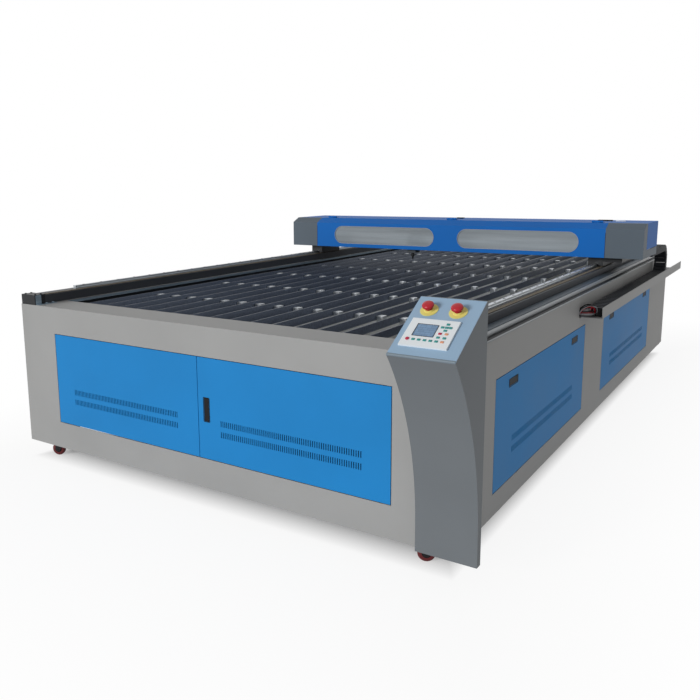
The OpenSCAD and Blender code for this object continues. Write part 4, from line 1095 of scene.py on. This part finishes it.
@dataclass
class Casters:
    """Turned wheels with hubs on the four casters."""

    palette: Palette
    joints: list[dict[str, Any]]
    half: float = 0.012
    bore: float = 0.004
    flank: float = 0.010
    round_off: Pair = (0.004, 0.0015)
    hub: Pair = (0.017, 0.0008)
    axle_half: float = 0.017

    def build(self) -> None:
        """Replaces each wheel by a turned tread about its roll axis and adds its hub."""
        axes = {j["child"]: Vector(j["axis"]) for j in self.joints}
        half, (inset, drop) = self.half, self.round_off
        for body in (Body.FRONT_LEFT_WHEEL, Body.FRONT_RIGHT_WHEEL, Body.REAR_LEFT_WHEEL,
                     Body.REAR_RIGHT_WHEEL):
            low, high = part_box(body.value)
            middle = (low + high) / 2
            axis = axes[body.value].normalized()
            radius = (high.z - low.z) / 2
            section = ((self.bore, -half), (radius - self.flank, -half), (radius - inset, -half + drop),
                       (radius, -half / 2), (radius, half / 2), (radius - inset, half - drop),
                       (radius - self.flank, half), (self.bore, half), (self.bore, -half))
            tread = Shape(body.value + "_tread")
            tread.spun(section, middle, axis, 48)
            tread.finish(self.palette["tread_polyurethane"], "tread", body, smooth=True,
                         stands_for=(body.value,))
            hub = Shape(body.value + "_hub")
            for way in (-1, 1):
                hub.disc(middle + axis * way * (half - SINK), axis * way, *self.hub, 28)
            hub.disc(middle - axis * self.axle_half, axis, self.bore, 2 * self.axle_half, 16)
            hub.finish(self.palette["black_nylon"], "black_plastic", body, smooth=True)


@dataclass
class GantryFittings:
    """Grips on the lid, seals round the windows, end rings of the laser tube and the nozzle's collar."""

    palette: Palette
    front_y: float
    lid_rise: float = 0.208
    lid_sink: float = 0.0003
    grip_y: Pair = (2.830, 2.850)
    grips: tuple[Pair, ...] = ((-0.044, 0.009), (0.921, 1.011))
    grip_rise: float = 0.008
    rest: Pair = (1.030, 1.088)
    rest_rise: float = 0.004
    window: Pair = (0.790, 0.121)
    window_x: float = 0.484
    seal: float = 0.0035
    seal_rise: float = 0.0012
    seal_round: float = 0.995
    seam_half: float = 0.0012
    seam_proud: float = 0.0004
    seam_z: Pair = (0.002, 0.152)
    ring_over: float = 0.0015
    ring_out: float = 0.001
    ring: float = 0.022
    electrode_in: float = 0.050
    electrode: Pair = (0.008, 0.014)
    electrode_sink: float = 0.002
    collar: float = 0.010
    collar_share: float = 0.45

    def lid(self) -> None:
        """Adds the two black grips and the pale rest on the lid's top."""
        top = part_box("gantry_cover")[0].z + self.lid_rise
        y0, y1 = (self.front_y + y for y in self.grip_y)
        grips = Shape("lid_grips")
        for x0, x1 in self.grips:
            grips.block((x0, y0, top - self.lid_sink), (x1, y1, top + self.grip_rise), 0.0025, 2)
        grips.finish(self.palette["black_nylon"], "black_plastic", Body.LID, smooth=True)
        rest = Shape("lid_rest")
        x0, x1 = self.rest
        rest.block((x0, y0, top - self.lid_sink), (x1, y1, top + self.rest_rise), 0.0015, 2)
        rest.finish(self.palette["light_abs"], "white_plastic", Body.LID, smooth=True)

    def windows(self) -> None:
        """Adds a thin seal round both windows."""
        low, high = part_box("gantry_windows")
        z = (low.z + high.z) / 2
        front = Matrix.Translation((0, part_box("gantry_cover")[0].y, 0))
        seals = Shape("window_seals", front @ Matrix.Rotation(math.radians(90), 4, "X"))
        half_w, half_h = self.window[0] / 2, self.window[1] / 2
        corner = (half_h + self.seal) * self.seal_round
        for x in (-self.window_x, self.window_x):
            seals.frame((x - half_w, z - half_h), (x + half_w, z + half_h), self.seal, self.seal_rise,
                        corner, 16)
        seals.finish(self.palette["grey_pvc"], "black_plastic", Body.GANTRY)

    def seams(self) -> None:
        """Adds the dark joints between the cover and its end caps."""
        low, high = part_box("gantry_cover")
        z0, z1 = (low.z + z for z in self.seam_z)
        seams = Shape("cover_seams")
        for x in (low.x, high.x):
            seams.block((x - self.seam_half, low.y - self.seam_proud, z0),
                        (x + self.seam_half, low.y + SINK, z1))
        seams.finish(self.palette["black_nylon"], "black_plastic", Body.GANTRY)

    def tube(self) -> None:
        """Adds metal end rings and black electrode caps to the laser tube."""
        low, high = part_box("laser_tube")
        y, z, radius = (low.y + high.y) / 2, (low.z + high.z) / 2, (high.z - low.z) / 2
        rings = Shape("tube_end_rings")
        caps = Shape("tube_electrodes")
        for x, way in ((low.x, 1), (high.x, -1)):
            rings.disc((x - way * self.ring_out, y, z), (way, 0, 0), radius + self.ring_over, self.ring, 36,
                       soften=0.0006)
            caps.disc((x + way * self.electrode_in, y, z + radius - self.electrode_sink), UP,
                      *self.electrode, 18, soften=0.001)
        rings.finish(self.palette["mill_aluminium"], "aluminium", Body.GANTRY, smooth=True)
        caps.finish(self.palette["black_nylon"], "black_plastic", Body.GANTRY, smooth=True)

    def nozzle(self) -> None:
        """Adds the brass collar above the lens tube's nozzle."""
        low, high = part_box("lens_tube")
        middle = ((low.x + high.x) / 2, (low.y + high.y) / 2)
        radius = (high.x - low.x) / 2
        level = low.z + self.collar_share * (high.z - low.z)
        collar = Shape("nozzle_collar")
        collar.disc((*middle, level), UP, radius + self.ring_over, self.collar, 32, soften=FINE)
        collar.finish(self.palette["turned_brass"], "steel", Body.LENS, smooth=True)

    def build(self) -> None:
        """Builds the gantry's small pieces."""
        self.lid()
        self.windows()
        self.seams()
        self.tube()
        self.nozzle()


@dataclass
class RearFittings:
    """Screws of the rear panel and spigots, and fins on the motor."""

    palette: Palette
    spigot_half: float = 0.100
    screw_circle: float = 0.088
    screw_count: int = 8
    flange: float = 0.0028
    spigot_screw: Pair = (0.005, 0.0035)
    edge_in: Pair = (0.05, 0.03)
    edge_screw: Pair = (0.0055, 0.003)
    edge_tip: float = 0.0045
    fin_count: int = 9
    fin_pitch: float = 0.0065
    fin: float = 0.003
    fin_rise: float = 0.002
    fin_sink: float = 0.001
    fin_in: Pair = (0.012, 0.006)

    def spigots(self) -> None:
        """Adds a ring of screws round each exhaust spigot."""
        low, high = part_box("exhaust_spigots")
        screws = Shape("spigot_screws")
        z = (low.z + high.z) / 2
        for x in (low.x + self.spigot_half, high.x - self.spigot_half):
            for i in range(self.screw_count):
                angle = math.tau * (i + 0.5) / self.screw_count
                place = (x + self.screw_circle * math.cos(angle), low.y + self.flange,
                         z + self.screw_circle * math.sin(angle))
                screws.disc(place, (0, 1, 0), *self.spigot_screw, 12, soften=FINE)
        screws.finish(self.palette["ground_steel"], "steel", Body.MACHINE)

    def panel(self) -> None:
        """Adds a row of screws along the rear panel's upper and lower edges."""
        low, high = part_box("rear_panel")
        edge = Shape("rear_panel_screws")
        step = (high.x - low.x - 2 * self.edge_in[0]) / (self.screw_count - 1)
        for z in (low.z + self.edge_in[1], high.z - self.edge_in[1]):
            for i in range(self.screw_count):
                x = low.x + self.edge_in[0] + i * step
                edge.disc((x, high.y - SINK, z), (0, 1, 0), *self.edge_screw, 12, tip=self.edge_tip)
        edge.finish(self.palette["ground_steel"], "steel", Body.MACHINE)

    def motor(self) -> None:
        """Adds fins on the motor's front and top."""
        low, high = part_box("drive_motor")
        fins = Shape("motor_fins")
        start, inset = self.fin_in
        for i in range(self.fin_count):
            x0 = low.x + start + i * self.fin_pitch
            x1 = x0 + self.fin
            fins.block((x0, low.y - self.fin_rise, low.z + inset),
                       (x1, low.y + self.fin_sink, high.z - inset))
            fins.block((x0, low.y + inset, high.z - self.fin_sink),
                       (x1, high.y - inset, high.z + self.fin_rise))
        fins.finish(self.palette["black_paint"], "black_paint", Body.MACHINE)

    def build(self) -> None:
        """Builds the rear's small pieces."""
        self.spigots()
        self.panel()
        self.motor()


@dataclass
class VentShadeMats:
    """Black foam mats behind the vents of the doors and access panels: dark sheets of painted shade that keep
    the vents dark.
    """

    palette: Palette
    sheet: float = 0.003
    thick: float = 0.004
    low: float = 0.095
    high: float = 0.190
    door_in: float = 0.100
    panel_in: float = 0.188
    soft: float = 0.001

    def build(self) -> None:
        """Adds one mat to the back of each door and panel."""
        for body in (Body.LEFT_DOOR, Body.RIGHT_DOOR, Body.FRONT_PANEL, Body.REAR_PANEL):
            low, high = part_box(body.value)
            z0, z1 = low.z + self.low, low.z + self.high
            # Dark sheet of painted shade behind the vents
            mat = Shape(body.value + "_vent_mat")
            if body in (Body.LEFT_DOOR, Body.RIGHT_DOOR):
                back = low.y + self.sheet - SINK
                corners = ((low.x + self.door_in, back, z0), (high.x - self.door_in, back + self.thick, z1))
            else:
                back = high.x - self.sheet + SINK
                corners = ((back - self.thick, low.y + self.panel_in, z0), (back, high.y - self.panel_in, z1))
            mat.block(*corners, self.soft)
            mat.finish(self.palette["vent_shade_foam"], "black_plastic", body)


@dataclass(frozen=True)
class Studio:
    """White floor and surroundings, one soft sun and the camera of the photo."""

    front_y: float
    focal_px: float = 751.4
    frame_px: float = 700.0
    centre_px: Pair = (304.5, 315.5)
    sensor_mm: float = 36.0
    sight: float = 100.0
    eye: Point = (2.072, -2.268, 1.357)
    yaw: float = 33.99
    pitch: float = -9.90
    roll: float = -0.61
    sun_from: Point = (-0.38, -0.90, 0.24)
    sun_power: float = 2.05
    sun_spread: float = 18.0
    sky: float = 0.33
    floor_half: float = 30.0
    paper: str = "#fbfbfb"
    paper_roughness: float = 0.9
    foot: Pair = (2.294, 4.200)
    foot_y: float = 0.079
    under: Pair = (0.9, 1.0)
    shadow: Pair = (1.0, 1.8)
    lightness: Pair = (0.9, 1.0)

    def camera(self) -> None:
        """Sets the camera of the photo."""
        data = bpy.data.cameras.new("photo_camera")
        data.sensor_fit = "HORIZONTAL"
        data.sensor_width = self.sensor_mm
        data.lens = self.focal_px / self.frame_px * self.sensor_mm
        data.shift_x = (self.frame_px / 2 - self.centre_px[0]) / self.frame_px
        data.shift_y = (self.centre_px[1] - self.frame_px / 2) / self.frame_px
        data.clip_end = self.sight
        made = bpy.data.objects.new("photo_camera", data)
        yaw, pitch, roll = (math.radians(a) for a in (self.yaw, self.pitch, self.roll))
        ahead = Vector((-math.sin(yaw) * math.cos(pitch), math.cos(yaw) * math.cos(pitch), math.sin(pitch)))
        right = ahead.cross(Vector(UP)).normalized()
        up = right.cross(ahead)
        turned_right = math.cos(roll) * right + math.sin(roll) * up
        turned_up = -math.sin(roll) * right + math.cos(roll) * up
        turn = Matrix((turned_right, turned_up, -ahead)).transposed().to_4x4()
        eye = Vector(self.eye) + Vector((0, self.front_y, 0))
        made.matrix_world = Matrix.Translation(eye) @ turn
        bpy.context.scene.collection.objects.link(made)
        bpy.context.scene.camera = made

    def sun(self) -> None:
        """Adds the soft sun from the front left."""
        data = bpy.data.lights.new("soft_sun", "SUN")
        data.energy = self.sun_power
        data.angle = math.radians(self.sun_spread)
        made = bpy.data.objects.new("soft_sun", data)
        made.rotation_euler = (-Vector(self.sun_from)).to_track_quat("-Z", "Y").to_euler()
        bpy.context.scene.collection.objects.link(made)

    def seen(self, tree: Tree) -> Socket:
        """Finds the rays that show the background.

        Args:
            tree: Node tree that takes the nodes.

        Returns:
            Output that is one for rays from the camera, mirrors and clear sheets, and zero for others.
        """
        path = add(tree, "ShaderNodeLightPath")
        first = add(tree, "ShaderNodeMath", {"operation": "MAXIMUM"},
                    {0: path.outputs["Is Camera Ray"], 1: path.outputs["Is Glossy Ray"]})
        both = add(tree, "ShaderNodeMath", {"operation": "MAXIMUM"},
                   {0: first.outputs[0], 1: path.outputs["Is Transmission Ray"]})
        return both.outputs[0]

    def surroundings(self) -> None:
        """Makes the surroundings: white to the eye, softer as a light."""
        world = bpy.data.worlds.new("studio_white")
        bpy.context.scene.world = world
        world.use_nodes = True
        tree = world.node_tree
        tree.nodes.clear()
        soft = add(tree, "ShaderNodeBackground", {".Color": WHITE, ".Strength": self.sky})
        white = add(tree, "ShaderNodeBackground", {".Color": WHITE, ".Strength": 1.0})
        mixed = add(tree, "ShaderNodeMixShader", None,
                    {0: self.seen(tree), 1: soft.outputs[0], 2: white.outputs[0]})
        add(tree, "ShaderNodeOutputWorld", None, {"Surface": mixed.outputs[0]})

    def floor_paper(self) -> bpy.types.Material:
        """Makes the floor's paper. It is white to the eye away from the machine's foot, and shaded under it.

        Returns:
            The new material.
        """
        made, tree, shader = blank("floor_paper")
        shader.inputs["Base Color"].default_value = linear(self.paper)
        shader.inputs["Roughness"].default_value = self.paper_roughness
        half_x, half_y = self.foot[0] / 2, self.foot[1] / 2
        scaled = add(tree, "ShaderNodeVectorMath",
                     {"operation": "MULTIPLY_ADD", 1: (1 / half_x, 1 / half_y, 0.0),
                      2: (0.0, -self.foot_y / half_y, 0.0)}, {0: coordinates(tree)})
        sides = add(tree, "ShaderNodeVectorMath", {"operation": "ABSOLUTE"}, {0: scaled.outputs[0]})
        parts = add(tree, "ShaderNodeSeparateXYZ", None, {"Vector": sides.outputs[0]})
        reach = add(tree, "ShaderNodeMath", {"operation": "MAXIMUM"},
                    {0: parts.outputs["X"], 1: parts.outputs["Y"]}).outputs[0]
        fade = remap(tree, ramp(tree, reach, *self.shadow), *self.lightness)
        clear = add(tree, "ShaderNodeMath", {"operation": "MULTIPLY"},
                    {0: ramp(tree, reach, *self.under), 1: fade})
        share = add(tree, "ShaderNodeMath", {"operation": "MULTIPLY"},
                    {0: self.seen(tree), 1: clear.outputs[0]})
        lit = add(tree, "ShaderNodeEmission", {".Color": WHITE, ".Strength": 1.0})
        mixed = add(tree, "ShaderNodeMixShader", None,
                    {0: share.outputs[0], 1: shader.outputs[0], 2: lit.outputs[0]})
        tree.links.new(mixed.outputs[0], tree.nodes["Material Output"].inputs["Surface"])
        return made

    def floor(self) -> None:
        """Lays the floor, which takes the machine's shadow."""
        shape = bmesh.new()
        bmesh.ops.create_grid(shape, x_segments=1, y_segments=1, size=self.floor_half)
        data = bpy.data.meshes.new("studio_floor")
        shape.to_mesh(data)
        shape.free()
        made = bpy.data.objects.new("studio_floor", data)
        bpy.context.scene.collection.objects.link(made)
        data.materials.append(self.floor_paper())

    def build(self) -> None:
        """Builds the studio."""
        bpy.context.scene.view_settings.view_transform = "Standard"
        self.camera()
        self.sun()
        self.surroundings()
        self.floor()


def main() -> None:
    """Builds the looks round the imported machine."""
    logging.basicConfig(level=logging.INFO)
    for name in ("Cube", "Light", "Camera"):
        if name in bpy.data.objects:
            bpy.data.objects.remove(bpy.data.objects[name])
    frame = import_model()
    front_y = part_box("front_panel")[0].y
    Studio(front_y).build()
    palette = Palette()
    Dresser(frame["nodes"], palette).dress()
    ControlPod(palette, front_y).build()
    Locks(palette).build()
    CableChain(palette, front_y).build()
    WireBunch(palette, front_y).build()
    RailHardware(palette, front_y).build()
    Casters(palette, frame["joints"]).build()
    GantryFittings(palette, front_y).build()
    RearFittings(palette).build()
    VentShadeMats(palette).build()


if __name__ == "__main__":
    main()
